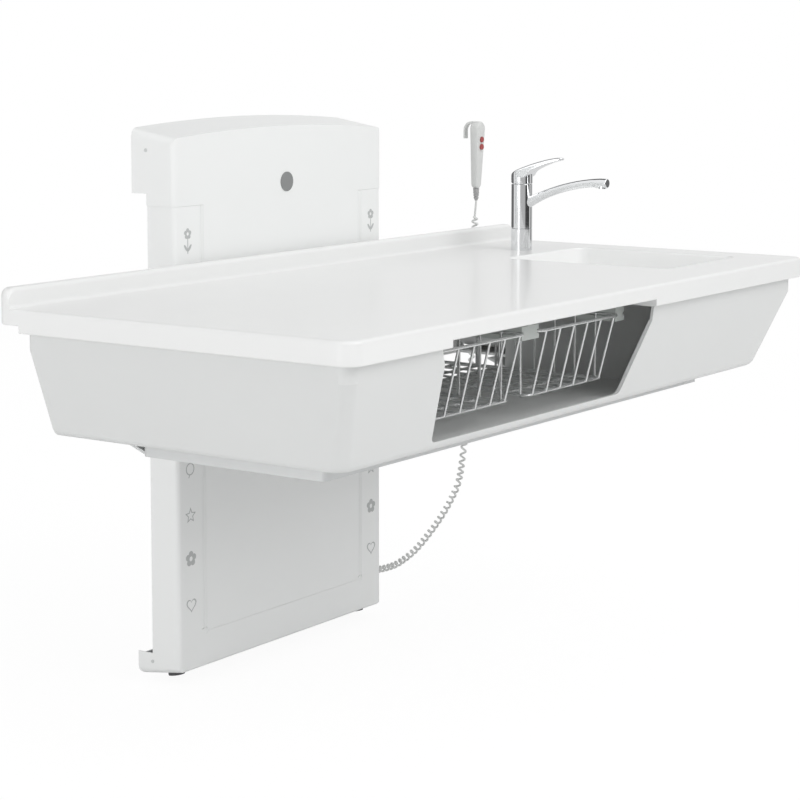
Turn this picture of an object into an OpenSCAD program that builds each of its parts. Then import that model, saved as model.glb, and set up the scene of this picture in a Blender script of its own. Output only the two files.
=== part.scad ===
// Wall-mounted changing table with a washbasin. A screw lift in the wall column raises
// and lowers the table top, its apron, two pull-out wire baskets and the mixer tap.
// The origin lies on the wall, at the middle of the column's back. X runs along the
// table, Y points to the wall and Z is up. The table stands at its rest height.

/* [Table top] */
// Length of the table top
top_l = 1414; // [1380:2:1460]
// Depth of the table top with its backsplash
top_d = 655; // [645:1:680]
// Height of the table top above the column's middle, at rest
top_z = 206; // [190:1:215]
// Height of the rim round the table top
rim_h = 36; // [32:1:38]
// Width of the rim under the table top
rim_w = 42; // [38:1:48]
// Thickness of the deck inside the rim
deck_t = 12; // [8:1:14]
// Radius of the front corners seen from above
corner_r = 28; // [18:1:40]
// Radius along the upper edge
edge_r = 6; // [3:1:8]
// Thickness of the backsplash
splash_t = 22; // [18:1:28]
// Height of the backsplash above the deck
splash_h = 31; // [22:1:50]
// Relief of the rim's underside over the baskets
notch_h = 11; // [7:1:12]

/* [Washbasin] */
// Width of the bowl at its rim
bowl_w = 266; // [240:2:280]
// Length of the bowl at its rim, front to back
bowl_l = 332; // [300:2:340]
// Depth of the bowl
bowl_h = 118; // [90:1:124]
// Wall of the bowl
bowl_t = 7; // [5:1:9]
// Radius of the bowl's upright corners
bowl_r = 20; // [18:1:24]
// Bare deck between the bowl and the right end
bowl_side = 74; // [70:1:90]
// Bare deck between the bowl and the front edge
bowl_front = 105; // [95:1:110]
// Bore of the waste outlet
waste_d = 46; // [42:1:50]

/* [Apron] */
// Height of the straight band under the rim
band_h = 26; // [18:1:32]
// Height of the whole apron
apron_h = 163; // [156:1:170]
// Setback of the band behind the rim's edge
band_in = 18; // [14:1:20]
// Further setback of the apron's foot
taper_in = 50; // [40:1:54]
// Wall of the apron
apron_t = 5; // [4:0.5:6]
// Width of the front opening at its top
mouth_w = 626; // [616:2:634]
// Middle of the front opening, left of the table's middle
mouth_off = 153; // [150:1:156]
// Height of the sill under the front opening
sill_h = 15; // [12:1:20]

/* [Baskets] */
// Clear width between two runners
bay_w = 241; // [234:1:244]
// Middle of the runner between the baskets, left of the table's middle
bay_off = 148; // [146:1:150]
// Width of an outer runner
runner_w = 30; // [26:1:34]
// Width of the middle runner
mid_w = 50; // [44:1:54]
// Length of a basket
basket_l = 415; // [340:5:420]
// Height of a basket between its two frames
basket_h = 105; // [90:1:110]
// Wire of the basket's top frame
rail_d = 5; // [4:0.5:6]
// Wire of the basket's grid
wire_d = 4; // [2.5:0.1:4.4]
// Spaces between the wires of a basket's front
front_gaps = 5; // [4:1:8]

/* [Column] */
// Width of the column's cover
col_w = 581; // [575:1:600]
// Height of the column
col_h = 940; // [930:2:980]
// Depth of the column from the wall
col_d = 92; // [90:1:96]
// Gap between the column and the back of the table top
col_gap = 10; // [8:1:14]
// Sheet of the covers
sheet_t = 2; // [1.5:0.1:2.5]
// Width of the slots that the support arms pass through
slot_w = 12; // [11.6:0.1:14]
// Distance between the two slots
slot_span = 448; // [440:2:452]
// Height of the hood's skirt above the column's middle
seam_z = 330; // [325:1:340]
// Height of the slots' lower end below the column's middle
slot_low = 402; // [400:1:410]

/* [Lift] */
// Diameter of the lift screw and the guide shafts
shaft_d = 20; // [18:0.5:22]
// Distance between the guide shafts
shaft_span = 300; // [290:2:310]
// Thickness of a support arm
arm_t = 4; // [3:0.5:6]
// Height of a support arm at the column
arm_h = 110; // [100:1:112]

/* [Mixer] */
// Diameter of the mixer's body
tap_d = 40; // [36:1:44]
// Height of the mixer's body
tap_h = 126; // [110:1:140]
// Height of the fixed foot under the swivelling body
tap_foot_h = 41; // [30:1:46]
// Diameter of the spout
spout_d = 16; // [15:1:20]
// Reach of the spout's arch
spout_l = 152; // [136:1:170]
// Offset of the mixer from the bowl's middle
tap_off = 20; // [0:1:30]

/* [Safety plate] */
// Height of the safety plate under the apron
plate_h = 23; // [20:1:25]
// Gap between the apron and the safety plate
plate_gap = 6; // [5:0.5:8]

/* [Handset] */
// Width of the handset
hand_w = 30; // [26:1:34]
// Length of the handset's body
hand_l = 134; // [124:1:140]
// Thickness of the handset at its head
hand_t = 20; // [18:1:24]
// Diameter of a handset button
key_d = 11; // [9:0.5:12]
// Diameter of the cord
cord_d = 4.2; // [3.6:0.1:4.6]
// Outer diameter of the cord's curls
curl_d = 14; // [12:0.5:16]

/* [Hidden] */

eps = 0.01;                 // overlap that keeps cuts clean
fit = 0.05;                 // radial clearance of a shaft in its bore
play = 0.3;                 // clearance between pieces that only pass or seat
fine = 64;

table_y = -(col_d + col_gap + top_d);   // front edge of the table top
back_ledge = 41;                        // table top behind the apron
skirt_z = -rim_h;                       // underside of the rim
apron_z = skirt_z - apron_h;            // underside of the apron
apron_back = top_d - back_ledge - 2;    // back face of the apron
bowl_x = top_l / 2 - bowl_side - bowl_w / 2;
bowl_y = bowl_front + bowl_l / 2;
tap_x = bowl_x + tap_off;
tap_y = bowl_front + bowl_l + 62;
bay_y = 68;                             // front face of the runners
runner_h = 22;
neck_h = 10;
tube_h = 20;                            // height of the deck rails
tube_t = 2.5;
rail_z = -deck_t - tube_h - neck_h - runner_h / 2;
rail_in = 2;                            // frame wire inside the runner's face
beam_y = 502;
beam_d = top_d - rim_w - 21 - beam_y;   // the beam ends 21 before the rim
beam_h = 40;
nut_d = 52;                             // nut under the mixer
beam_x = tap_x - nut_d / 2 - 38;        // the beam ends clear of the mixer's nut
arm_top = -deck_t - beam_h;             // arms carry the beam on their upper edge
carriage_y = -70;                       // front face of the carriage plate
carriage_t = 8;
shaft_y = -42;
housing_w = 40;
slot_x = slot_span / 2;
tongue_x = slot_x - slot_w / 2;
cover_back = -32;
foot_z = -col_h / 2;
foot_tilt = 8.5;                        // rise of the cover's foot to the front
function foot_rise(y) = -y * tan(foot_tilt);
well_x = 468;                           // half width of the cut-out in the apron's floor
well_y = 411;
pipe_end = apron_back + 25;             // pipes end behind the apron
end_l = 20;                             // length of a pipe's bare end
key_pitch = 14.6;
hand_x = 672;
hand_y = -59;                           // plane where the handset's shells part
hand_top = 441;
hand_z = hand_top - hand_l;
relief_h = 24;
gland_z = foot_z + 66;
gland_y = -57;
gland_out = 14;
cover_x = col_w / 2;

module at_table() {
    translate([0, table_y, top_z]) children();
}

module each_side() {
    for (side = [-1, 1]) translate([side * slot_x, 0, 0]) children();
}

// Rectangle with round corners: rf on the low-y side and rb on the high-y side.
module round_rect(x0, x1, y0, y1, rf, rb) {
    union() {
        translate([x0 + rf, y0]) square([x1 - x0 - 2 * rf, y1 - y0 - rb]);
        translate([x0 + rb, y0 + rf]) square([x1 - x0 - 2 * rb, y1 - y0 - rf]);
        translate([x0, y0 + rf]) square([x1 - x0, y1 - y0 - rf - rb]);
        for (x = [x0 + rf, x1 - rf]) translate([x, y0 + rf]) circle(r = rf, $fn = fine);
        for (x = [x0 + rb, x1 - rb]) translate([x, y1 - rb]) circle(r = rb, $fn = fine);
    }
}

// A straight round rod from point a to point b.
module rod(a, b, d) {
    v = b - a;
    translate(a)
        rotate([0, acos(v[2] / norm(v)), atan2(v[1], v[0])])
            cylinder(d = d, h = norm(v), $fn = 16);
}

module ring(r_out, r_in, h) {
    difference() {
        cylinder(r = r_out, h = h, $fn = fine);
        translate([0, 0, -1]) cylinder(r = r_in, h = h + 2, $fn = fine);
    }
}

module box_tube(x, y, z, t) {
    difference() {
        cube([x, y, z]);
        translate([t, -1, t]) cube([x - 2 * t, y + 2, z - 2 * t]);
    }
}

function unit(v) = v / norm(v);

// Points of one corner of an outline, rounded to radius r.
function corner(p0, p, p1, r, n = 6) =
    let (a = unit(p0 - p), b = unit(p1 - p), half = acos(a * b) / 2,
         c = p + unit(a + b) * r / sin(half), s = p + a * r / tan(half) - c,
         e = p + b * r / tan(half) - c,
         turn = atan2(s[0] * e[1] - s[1] * e[0], s * e))
    [for (i = [0:n]) let (t = turn * i / n)
        c + [s[0] * cos(t) - s[1] * sin(t), s[0] * sin(t) + s[1] * cos(t)]];

// Outline through points [x, y, radius].
function rounded(pts) = let (m = len(pts))
    [for (i = [0:m - 1]) let (p = pts[i], a = pts[(i + m - 1) % m], b = pts[(i + 1) % m])
        each (p[2] == 0 ? [[p[0], p[1]]]
            : corner([a[0], a[1]], [p[0], p[1]], [b[0], b[1]], p[2]))];

// Flat round disc with rounded edges: e0 below and e1 above.
module puck(r, h, e0, e1, n = 32) {
    outline = concat([[0, 0]],
        [for (i = [0:3]) [r - e0 + e0 * sin(30 * i), e0 - e0 * cos(30 * i)]],
        [for (i = [0:3]) [r - e1 + e1 * cos(30 * i), h - e1 + e1 * sin(30 * i)]], [[0, h]]);
    rotate_extrude($fn = n) polygon(outline);
}

// Wall side of the column

plate_w = 430;
plate_z = col_h / 2 - 15;
bolt_x = 190;
bolt_z = 340;
bolt_d = 9;
plate_t = 3;

module wall_plate() {
    color("silver") difference() {
        translate([-plate_w / 2, -plate_t, -plate_z]) cube([plate_w, plate_t, 2 * plate_z]);
        for (x = [-bolt_x, bolt_x], z = [-bolt_z, bolt_z])
            translate([x, 1, z]) rotate([90, 0, 0]) cylinder(d = bolt_d, h = plate_t + 2, $fn = fine);
    }
}

screw_y = cover_back;                   // side screws stand this far from the wall
hood_screw_z = col_h / 2 - 48;
foot_screw_z = foot_z + 27;
screw_d = 4;
hood_side = cover_x + sheet_t;          // outer side face of the hood

module cover_brackets() {
    w = 16;
    color("silver")
    for (side = [0, 1], high = [0, 1]) mirror([side, 0, 0]) {
        z = high ? hood_screw_z : foot_screw_z;
        x = (high ? hood_side : cover_x) - sheet_t - play;
        difference() {
            union() {
                translate([plate_w / 2, -plate_t, z - w / 2]) cube([x - plate_w / 2, plate_t, w]);
                translate([x - plate_t, screw_y - 10, z - w / 2]) cube([plate_t, -screw_y + 10, w]);
            }
            translate([x - plate_t - 1, screw_y, z]) rotate([0, 90, 0])
                cylinder(d = screw_d + play, h = plate_t + 2, $fn = 24);
        }
    }
}

block_h = 28;
shaft_low = foot_z + 22;
shaft_top = col_h / 2 - 34;

module guide_shafts() {
    color("gainsboro") for (x = [-1, 1] * shaft_span / 2)
        translate([x, shaft_y, shaft_low]) cylinder(d = shaft_d, h = shaft_top - shaft_low, $fn = fine);
}

module bearing_block(w, z, h) {
    deep = -shaft_y + shaft_d / 2 + 6;
    difference() {
        translate([-w / 2, -deep, z]) cube([w, deep - plate_t, h]);
        translate([0, shaft_y, z - 1]) cylinder(r = shaft_d / 2 + fit, h = h + 2, $fn = fine);
    }
}

module shaft_blocks() {
    color("dimgray") for (x = [-1, 1] * shaft_span / 2, z = [shaft_low - 4, shaft_top + 4 - block_h])
        translate([x, 0, 0]) bearing_block(housing_w, z, block_h);
}

motor_top = foot_z + 70;
bearing_h = 22;
bearing_w = 52;
screw_top = col_h / 2 - 114;

module screw_bearings() {
    color("dimgray") for (z = [motor_top + 2, screw_top - bearing_h - 2])
        bearing_block(bearing_w, z, bearing_h);
}

module lift_screw() {
    color("lightgray") translate([0, shaft_y, motor_top + play])
        cylinder(d = shaft_d, h = screw_top - motor_top - play, $fn = fine);
}

motor_d = 56;

module lift_motor() {
    low = foot_z + foot_rise(-col_d) + sheet_t + 2;
    color("dimgray") union() {
        translate([0, shaft_y, low]) cylinder(d = motor_d, h = motor_top - low, $fn = fine);
        translate([-20, shaft_y, low + 4]) cube([40, -shaft_y - plate_t, 44]);
    }
}

box_x = [178, 276];
box_z = [foot_z + 20, foot_z + 104];
box_deep = 82;

module control_box() {
    color("darkgray") translate([box_x[0], -box_deep, box_z[0]])
        cube([box_x[1] - box_x[0], box_deep - plate_t, box_z[1] - box_z[0]]);
}

// Covers of the column

cover_r = 8;
foot_r = 14;
foot_front_r = 6;
foot_back_r = 10;
tab_h = 41;                             // full-depth foot of the cover
hood_tab_z = seam_z + 20;               // the hood is full depth above this height

// The cover's outline, drawn in by o, with round corners and a round foot.
module cover_body(o) {
    top = seam_z - play + 2 * o;
    intersection() {
        translate([0, 0, foot_z + o]) linear_extrude(top - foot_z - o)
            round_rect(-cover_x + o, cover_x - o, -col_d + o, 40, cover_r - o, cover_r - o);
        translate([-cover_x, 0, 0]) rotate([90, 0, 90]) linear_extrude(col_w)
            polygon(rounded([[-col_d + o, foot_z + foot_rise(-col_d) + o, foot_front_r - o],
                [2 * o, foot_z + o, foot_back_r - o], [2 * o, top + 40, 0], [-col_d + o, top + 40, 0]]));
        translate([0, 0, foot_z]) rotate([-foot_tilt, 0, 0]) translate([0, 60, -foot_z])
            rotate([90, 0, 0]) linear_extrude(col_d + 300)
                round_rect(-cover_x + o, cover_x - o, foot_z + o, top + 40, foot_r - o, foot_r - o);
    }
}

module lower_cover() {
    color("whitesmoke") difference() {
        cover_body(0);
        cover_body(sheet_t);
        translate([-cover_x - 1, cover_back, foot_z + tab_h])
            cube([col_w + 2, -cover_back + 1, col_h]);
        translate([-tongue_x - play, -col_d - 1, -slot_low + slot_w / 2 - play])
            cube([2 * (tongue_x + play), sheet_t + 2, col_h]);
        each_side() translate([0, -col_d - 1, -slot_low + slot_w / 2]) rotate([-90, 0, 0])
            cylinder(d = slot_w, h = sheet_t + 2, $fn = fine);
        each_side() translate([-slot_w / 2, -col_d - 1, -slot_low + slot_w / 2])
            cube([slot_w, sheet_t + 2, col_h]);
        for (x = [-cover_x - 1, cover_x - sheet_t - 1]) translate([x, screw_y, foot_screw_z])
            rotate([0, 90, 0]) cylinder(d = screw_d + play, h = sheet_t + 2, $fn = 24);
        translate([cover_x - sheet_t - 1, gland_y, gland_z]) rotate([0, 90, 0])
            cylinder(r = 6 + play, h = sheet_t + 2, $fn = fine);
    }
}

hood_sag = 11;                          // rise of the hood's arched top
hood_tilt = 9.5;                        // fall of the hood's top to the front

// Front view of the hood, drawn in by o: an arch with round shoulders.
function hood_outline(o) = let (hx = hood_side - o, r = foot_r - o, top = col_h / 2 - o, n = 12)
    concat([[-hx, seam_z - 40]],
        [for (i = [0:4]) [-hx + r - r * cos(22.5 * i), top - hood_sag - r + r * sin(22.5 * i)]],
        [for (i = [-n + 1:n - 1]) let (x = (hx - r) * i / n) [x, top - hood_sag * i * i / n / n]],
        [for (i = [4:-1:0]) [hx - r + r * cos(22.5 * i), top - hood_sag - r + r * sin(22.5 * i)]],
        [[hx, seam_z - 40]]);

module hood_body(o) {
    intersection() {
        translate([0, 0, seam_z - 2 * o]) linear_extrude(col_h)
            round_rect(-hood_side + o, hood_side - o, -col_d + o, 40, cover_r, cover_r);
        translate([0, 0, col_h / 2]) rotate([hood_tilt, 0, 0])
            translate([0, 60, -col_h / 2]) rotate([90, 0, 0])
                linear_extrude(col_d + 100) polygon(hood_outline(o));
        translate([-col_w, -col_d - 1, seam_z - 2 * o]) cube([2 * col_w, col_d + 1 + 2 * o, col_h]);
    }
}

module hood_panel() {
    color("white") union() {
        difference() {
            hood_body(0);
            hood_body(sheet_t);
            translate([-col_w, cover_back, seam_z - 1]) cube([2 * col_w, col_d, hood_tab_z - seam_z + 1]);
            for (x = [-hood_side - 1, hood_side - sheet_t - 1]) translate([x, screw_y, hood_screw_z])
                rotate([0, 90, 0]) cylinder(d = screw_d + play, h = sheet_t + 2, $fn = 24);
        }
        translate([-tongue_x, -col_d, -slot_low + slot_w / 2])
            cube([2 * tongue_x, sheet_t, seam_z + slot_low - slot_w / 2 + 5]);
    }
}

seal_t = 6;                             // depth of the lips that line the slots

seal_foot = slot_w + 0.3;               // height of the plug that closes a slot's lower end

// Two lips line each slot and fill it up to the arm, and a plug closes its lower end.
module slot_seals() {
    gap = arm_t / 2 + 0.6;
    reach = slot_w / 2 + 8;
    lip_h = seam_z + slot_low - seal_foot - 0.4;
    color("silver") each_side() {
        for (side = [0, 1]) mirror([side, 0, 0]) translate([gap, 0, -slot_low + seal_foot]) {
            translate([0, -col_d + sheet_t, 0]) cube([reach - gap, seal_t, lip_h]);
            translate([0, -col_d + 0.3, 0]) cube([slot_w / 2 - 0.1 - gap, sheet_t, lip_h]);
        }
        translate([-reach, -col_d + sheet_t, -slot_low - 3]) cube([2 * reach, seal_t, slot_w + 3]);
        translate([0, -col_d + 0.3, -slot_low + slot_w / 2]) rotate([-90, 0, 0])
            cylinder(d = slot_w - 0.2, h = sheet_t, $fn = fine);
    }
}

module cover_screws() {
    color("gray") for (side = [0, 1], high = [0, 1]) mirror([side, 0, 0])
        translate([high ? hood_side : cover_x, screw_y, high ? hood_screw_z : foot_screw_z])
            rotate([0, 90, 0]) union() {
                cylinder(d = 6, h = 1.2, $fn = fine);
                translate([0, 0, -sheet_t - 6]) cylinder(d = screw_d, h = sheet_t + 6, $fn = 24);
            }
}

badge_x = 8;
badge_z = seam_z + 27;

module badge_disc() {
    color("dimgray") translate([badge_x, -col_d, badge_z]) rotate([90, 0, 0])
        cylinder(d = 34, h = 1.5, $fn = fine);
}

// Simple printed figures, drawn as outlines about 25 high
module outlined(k) {
    difference() {
        children();
        scale(k) children();
    }
}

module star() {
    polygon([for (i = [0:9]) (i % 2 == 0 ? 14 : 6.5) * [sin(36 * i), cos(36 * i)]]);
}

module heart() {
    polygon([for (t = [0:15:345]) 0.8 * [16 * pow(sin(t), 3),
        13 * cos(t) - 5 * cos(2 * t) - 2 * cos(3 * t) - cos(4 * t)]]);
}

module blossom(r) {
    difference() {
        union() {
            for (a = [0:72:288]) rotate(a) translate([0, 0.6 * r]) circle(r = 0.42 * r, $fn = fine);
            circle(r = 0.4 * r, $fn = fine);
        }
        circle(r = 0.32 * r, $fn = fine);
    }
}

// A flower on its stem with two leaves
module tall_flower() {
    translate([0, 12]) blossom(9);
    translate([-0.8, -21]) square([1.6, 27]);
    for (side = [0, 1]) mirror([side, 0]) translate([0.5, -17]) rotate(-38) scale([0.32, 1])
        translate([0, 7]) circle(r = 7, $fn = fine);
}

// A round balloon on its string
module balloon() {
    translate([0, 3]) difference() {
        circle(r = 10.5, $fn = fine);
        circle(r = 8.8, $fn = fine);
    }
    translate([-4.5, -11.5]) rotate(-28) square([1.6, 6]);
}

motif_x = 259;
motif_z = [272, -114, -190, -264, -343];
motif_t = 0.3;

module motif(kind) {
    if (kind == 0) tall_flower();
    if (kind == 1) balloon();
    if (kind == 2) outlined(0.72) star();
    if (kind == 3) blossom(13);
    if (kind == 4) outlined(0.8) heart();
}

module panel_motifs() {
    color("gray") for (side = [-1, 1], i = [0:len(motif_z) - 1])
        translate([side * motif_x, -col_d, motif_z[i]]) rotate([90, 0, 0])
            linear_extrude(motif_t) motif(i);
}

pad_h = 7;
pad_d = 28;
pad_x = 258;
pad_y = -56;

module rubber_feet() {
    color("dimgray") for (x = [-pad_x, pad_x]) translate([x, pad_y, foot_z + foot_rise(pad_y)])
        rotate([-foot_tilt, 0, 0]) translate([0, 0, -pad_h]) cylinder(d = pad_d, h = pad_h, $fn = fine);
}

// Handset and its cord

module cord_gland() {
    color("gainsboro") translate([0, gland_y, gland_z]) rotate([0, 90, 0]) union() {
        translate([0, 0, box_x[1]]) cylinder(r = 6, h = cover_x - box_x[1] + 1, $fn = fine);
        translate([0, 0, cover_x]) cylinder(r = 10, h = 4, $fn = fine);
        translate([0, 0, cover_x]) cylinder(r = 7, h = gland_out, $fn = fine);
    }
}

hand_end_t = 14;                        // thickness of the handset at its foot
hand_back = hand_y + 10;                // flat back of the handset
relief_y = hand_back - hand_end_t / 2;
relief_end = hand_z - relief_h;

module cord_relief() {
    color("gray") translate([hand_x, relief_y, relief_end]) union() {
        cylinder(r1 = 3.2, r2 = 6.4, h = relief_h, $fn = fine);
        for (z = [4, 9, 14]) translate([0, 0, z]) cylinder(r = 4.6 + z / 9, h = 2.4, $fn = fine);
    }
}

// The curls start below a straight stretch and end before the gland.
cord_route = concat([[672, -53, 252], [671, -54, 190], [664, -56, 60], [650, -57, -90]],
    [for (p = [[629, 195], [611, 127], [582, 92], [546, 63], [504, 37], [452, 12], [401, -1],
        [368, -3], [340, -1.5], [318, 0]]) [p[0], gland_y, gland_z + p[1]]]);
curls = 64;
rings_per_curl = 8;

function cord_leg(i) = norm(cord_route[i + 1] - cord_route[i]);
function cord_run(n) = n <= 0 ? 0 : cord_leg(n - 1) + cord_run(n - 1);
cord_legs = len(cord_route) - 1;
cord_stops = [for (i = [0:cord_legs]) cord_run(i)];
cord_curled = cord_stops[cord_legs];

function route_at(i) = cord_route[max(0, min(cord_legs, i))];

// Smooth curve through the route's points, s from 0 to the curled length.
function along(s) =
    let (k = min(cord_legs - 1, max([for (i = [0:cord_legs]) cord_stops[i] <= s ? i : 0])),
         t = (s - cord_stops[k]) / cord_leg(k),
         a = route_at(k - 1), b = route_at(k), c = route_at(k + 1), d = route_at(k + 2))
    0.5 * (2 * b + (c - a) * t + (2 * a - 5 * b + 4 * c - d) * t * t
        + (3 * b - a - 3 * c + d) * t * t * t);

cord_rings = curls * rings_per_curl;
curl_r = (curl_d - cord_d) / 2;
// A whole number of steps inside each end, so that the curls open and close gently.
function swell(i) = let (x = min(1, min(i, cord_rings - i) / rings_per_curl)) x * x * (3 - 2 * x);

function heading(s) = unit(along(min(cord_curled, s + 2)) - along(max(0, s - 2)));
function curl_ray(i) =
    let (t = heading(cord_curled * i / cord_rings), n = unit(cross(t, [0, 1, 0])), b = cross(n, t),
         a = 360 * i / rings_per_curl)
    cos(a) * n + sin(a) * b;

cord_start = [hand_x, relief_y, relief_end];
cord_end = [cover_x + gland_out, gland_y, gland_z];
cord_line = concat([cord_start, cord_start - [0, 0, cord_d]],
    [for (i = [0:cord_rings]) along(cord_curled * i / cord_rings) + curl_r * swell(i) * curl_ray(i)],
    [cord_end + [cord_d, 0, 0], cord_end]);
cord_ways = concat([[0, 0, -1], [0, 0, -1]],
    [for (i = [2:len(cord_line) - 3]) unit(cord_line[i + 1] - cord_line[i - 1])],
    [[-1, 0, 0], [-1, 0, 0]]);
cord_rays = concat([curl_ray(0), curl_ray(0)], [for (i = [0:cord_rings]) curl_ray(i)],
    [curl_ray(cord_rings), curl_ray(cord_rings)]);

cord_sides = 6;
function section(i) =
    let (w = cord_ways[i], u = unit(cord_rays[i] - (cord_rays[i] * w) * w), v = cross(w, u))
    [for (k = [0:cord_sides - 1]) let (a = 360 * k / cord_sides)
        cord_line[i] + cord_d / 2 * (cos(a) * u + sin(a) * v)];

cord_gap = min([for (i = [0:len(cord_line) - 1], j = [i + 5:min(i + 12, len(cord_line) - 1)])
    norm(cord_line[i] - cord_line[j])]) - cord_d;

function cord_length(i = 1) = i >= len(cord_line) ? 0
    : norm(cord_line[i] - cord_line[i - 1]) + cord_length(i + 1);

module curly_cord() {
    n = len(cord_line);
    m = cord_sides;
    echo(str("curly cord: length ", round(cord_length()), " mm, least gap to itself ",
        round(cord_gap * 100) / 100, " mm"));
    color("whitesmoke") polyhedron(
        points = [for (i = [0:n - 1]) each section(i)],
        faces = concat(
            [for (k = [1:m - 2]) [0, k, k + 1]],
            [for (i = [0:n - 2], k = [0:m - 1]) let (a = i * m + k, b = i * m + (k + 1) % m)
                each [[a, a + m, b + m], [a, b + m, b]]],
            [for (k = [1:m - 2]) let (z = (n - 1) * m) [z, z + k + 1, z + k]]));
}

hand_wall = 2.4;
hand_r = hand_w / 2;
hand_end_r = 10;

// The handset's full form, drawn in by o.
module hand_form(o) {
    hull() {
        translate([hand_x, hand_back - o, hand_top - hand_r]) rotate([90, 0, 0])
            puck(hand_r - o, hand_t - 2 * o, 5, 5);
        translate([hand_x, hand_back - o, hand_z + hand_end_r]) rotate([90, 0, 0])
            puck(hand_end_r - o, hand_end_t - 2 * o, 4, 4);
    }
}

key_z = hand_top - 36;                  // upper button
function key_zs() = [key_z, key_z - key_pitch];
key_face = hand_back - hand_t - 1.6;    // outer face of a button
board_y = hand_y - 1.6;

module handset_front() {
    color("gainsboro") difference() {
        hand_form(0);
        hand_form(hand_wall);
        translate([hand_x - hand_w, hand_y, hand_z - 10]) cube([2 * hand_w, hand_t, hand_l + 20]);
        for (z = key_zs()) translate([hand_x, hand_y, z]) rotate([90, 0, 0])
            cylinder(d = key_d + 2 * play, h = hand_t, $fn = fine);
    }
}

hook_r = 16.5;
hook_y = hand_back + 2;
hook_z = hand_top - hook_r - 2;
hook_w = 10;

module handset_back() {
    color("gainsboro") union() {
        difference() {
            hand_form(0);
            hand_form(hand_wall);
            translate([hand_x - hand_w, hand_y - hand_t, hand_z - 10])
                cube([2 * hand_w, hand_t, hand_l + 20]);
        }
        for (z = [hand_z + 40, hand_top - 20]) translate([hand_x, hand_back - 1, z]) rotate([90, 0, 0])
            cylinder(d = 6, h = hand_back - 1 - hand_y, $fn = fine);
        translate([hand_x, hook_y, hook_z]) rotate([90, 0, 90]) rotate_extrude(angle = 115, $fn = 96)
            translate([hook_r - 2, -hook_w / 2]) square([4, hook_w]);
        translate([hand_x - hook_w / 2, hook_y + hook_r - 2, hook_z - 16]) cube([hook_w, 4, 16]);
    }
}

module switch_board() {
    color("seagreen") translate([hand_x - 7.5, board_y, key_z - 56]) cube([15, 1.6, 70]);
}

module key(z) {
    color("firebrick") translate([hand_x, key_face, z]) rotate([-90, 0, 0])
        cylinder(d = key_d, h = board_y - key_face - 2, $fn = fine);
}

module up_button() { key(key_zs()[0]); }

module down_button() { key(key_zs()[1]); }

// Moving carriage and support arms

carriage_z = [20, 165];                 // lower and upper edge of the carriage plate
bush_d = 28;
bolt_zs = [-75, -140];                  // arm bolts below the table top
foot_w = 34;                            // foot of an arm on the carriage plate
arm_bolt_x = slot_x - 19;
arm_bolt_d = 8;

module lift_carriage() {
    z0 = carriage_z[0];
    h = carriage_z[1] - z0;
    back = carriage_y + carriage_t;
    color("slategray") difference() {
        union() {
            translate([-slot_x - 12, carriage_y, z0]) cube([slot_span + 24, carriage_t, h]);
            for (x = [-shaft_span / 2, 0, shaft_span / 2])
                translate([x - housing_w / 2, back - eps, z0 + 10]) cube([housing_w, 40, h - 20]);
        }
        for (x = [-shaft_span / 2, 0, shaft_span / 2]) translate([x, shaft_y, z0])
            cylinder(d = bush_d, h = h, $fn = fine);
        for (x = [-1, 1] * arm_bolt_x, z = bolt_zs) translate([x, back + 1, top_z + z])
            rotate([90, 0, 0]) cylinder(d = arm_bolt_d, h = carriage_t + 2, $fn = fine);
    }
}

module bush(h) {
    difference() {
        cylinder(d = bush_d, h = h, $fn = fine);
        translate([0, 0, -1]) cylinder(r = shaft_d / 2 + fit, h = h + 2, $fn = fine);
    }
}

module carriage_bushes() {
    color("darkgoldenrod") for (x = [-1, 1] * shaft_span / 2, z = [carriage_z[0] + 10, carriage_z[1] - 40])
        translate([x, shaft_y, z]) bush(30);
}

module screw_nut() {
    color("darkgoldenrod") translate([0, shaft_y, carriage_z[0] + 40]) bush(50);
}

arm_front = beam_y;
arm_back = carriage_y - table_y;
arm_tip_h = 40;

module support_arms() {
    color("slategray") at_table() difference() {
        union() {
            each_side() translate([-arm_t / 2, 0, 0]) rotate([90, 0, 90]) linear_extrude(arm_t)
                polygon([[arm_front, arm_top], [arm_back, arm_top], [arm_back, arm_top - arm_h],
                    [arm_back - 50, arm_top - arm_h], [arm_front, arm_top - arm_tip_h]]);
            for (side = [0, 1]) mirror([side, 0, 0])
                translate([slot_x - foot_w, arm_back - 8, arm_top - arm_h]) cube([foot_w, 8, arm_h]);
        }
        for (x = [-1, 1] * arm_bolt_x, z = bolt_zs) translate([x, arm_back + 1, z])
            rotate([90, 0, 0]) cylinder(d = arm_bolt_d, h = 10, $fn = fine);
    }
}

module arm_bolts() {
    color("gray") at_table() for (x = [-1, 1] * arm_bolt_x, z = bolt_zs)
        translate([x, arm_back, z]) rotate([90, 0, 0]) union() {
            translate([0, 0, -carriage_t]) cylinder(d = arm_bolt_d, h = carriage_t + 8, $fn = fine);
            translate([0, 0, 8]) cylinder(d = 13, h = 5, $fn = 6);
        }
}

module rear_beam() {
    color("slategray") at_table() translate([-beam_x, beam_y, arm_top]) difference() {
        cube([2 * beam_x, beam_d, beam_h]);
        translate([-1, 3, 3]) cube([2 * beam_x + 2, beam_d - 6, beam_h - 6]);
    }
}

mouth_x = -mouth_off;
bay_x = -bay_off;                       // middle runner
outer_x = mid_w / 2 + bay_w + runner_w / 2;
function runner_xs() = [bay_x - outer_x, bay_x, bay_x + outer_x];

module deck_rails() {
    color("slategray") at_table() for (x = runner_xs())
        translate([x - 15, bay_y - 1, -deck_t - tube_h]) box_tube(30, beam_y - bay_y + 1, tube_h, tube_t);
}

// Table top with the bowl

rear_step = 11;                         // rim is thinner behind the apron

module corners(w, l, r) {
    for (x = [-w / 2 + r, w / 2 - r], y = [-l / 2 + r, l / 2 - r]) translate([x, y, 0]) children();
}

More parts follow.
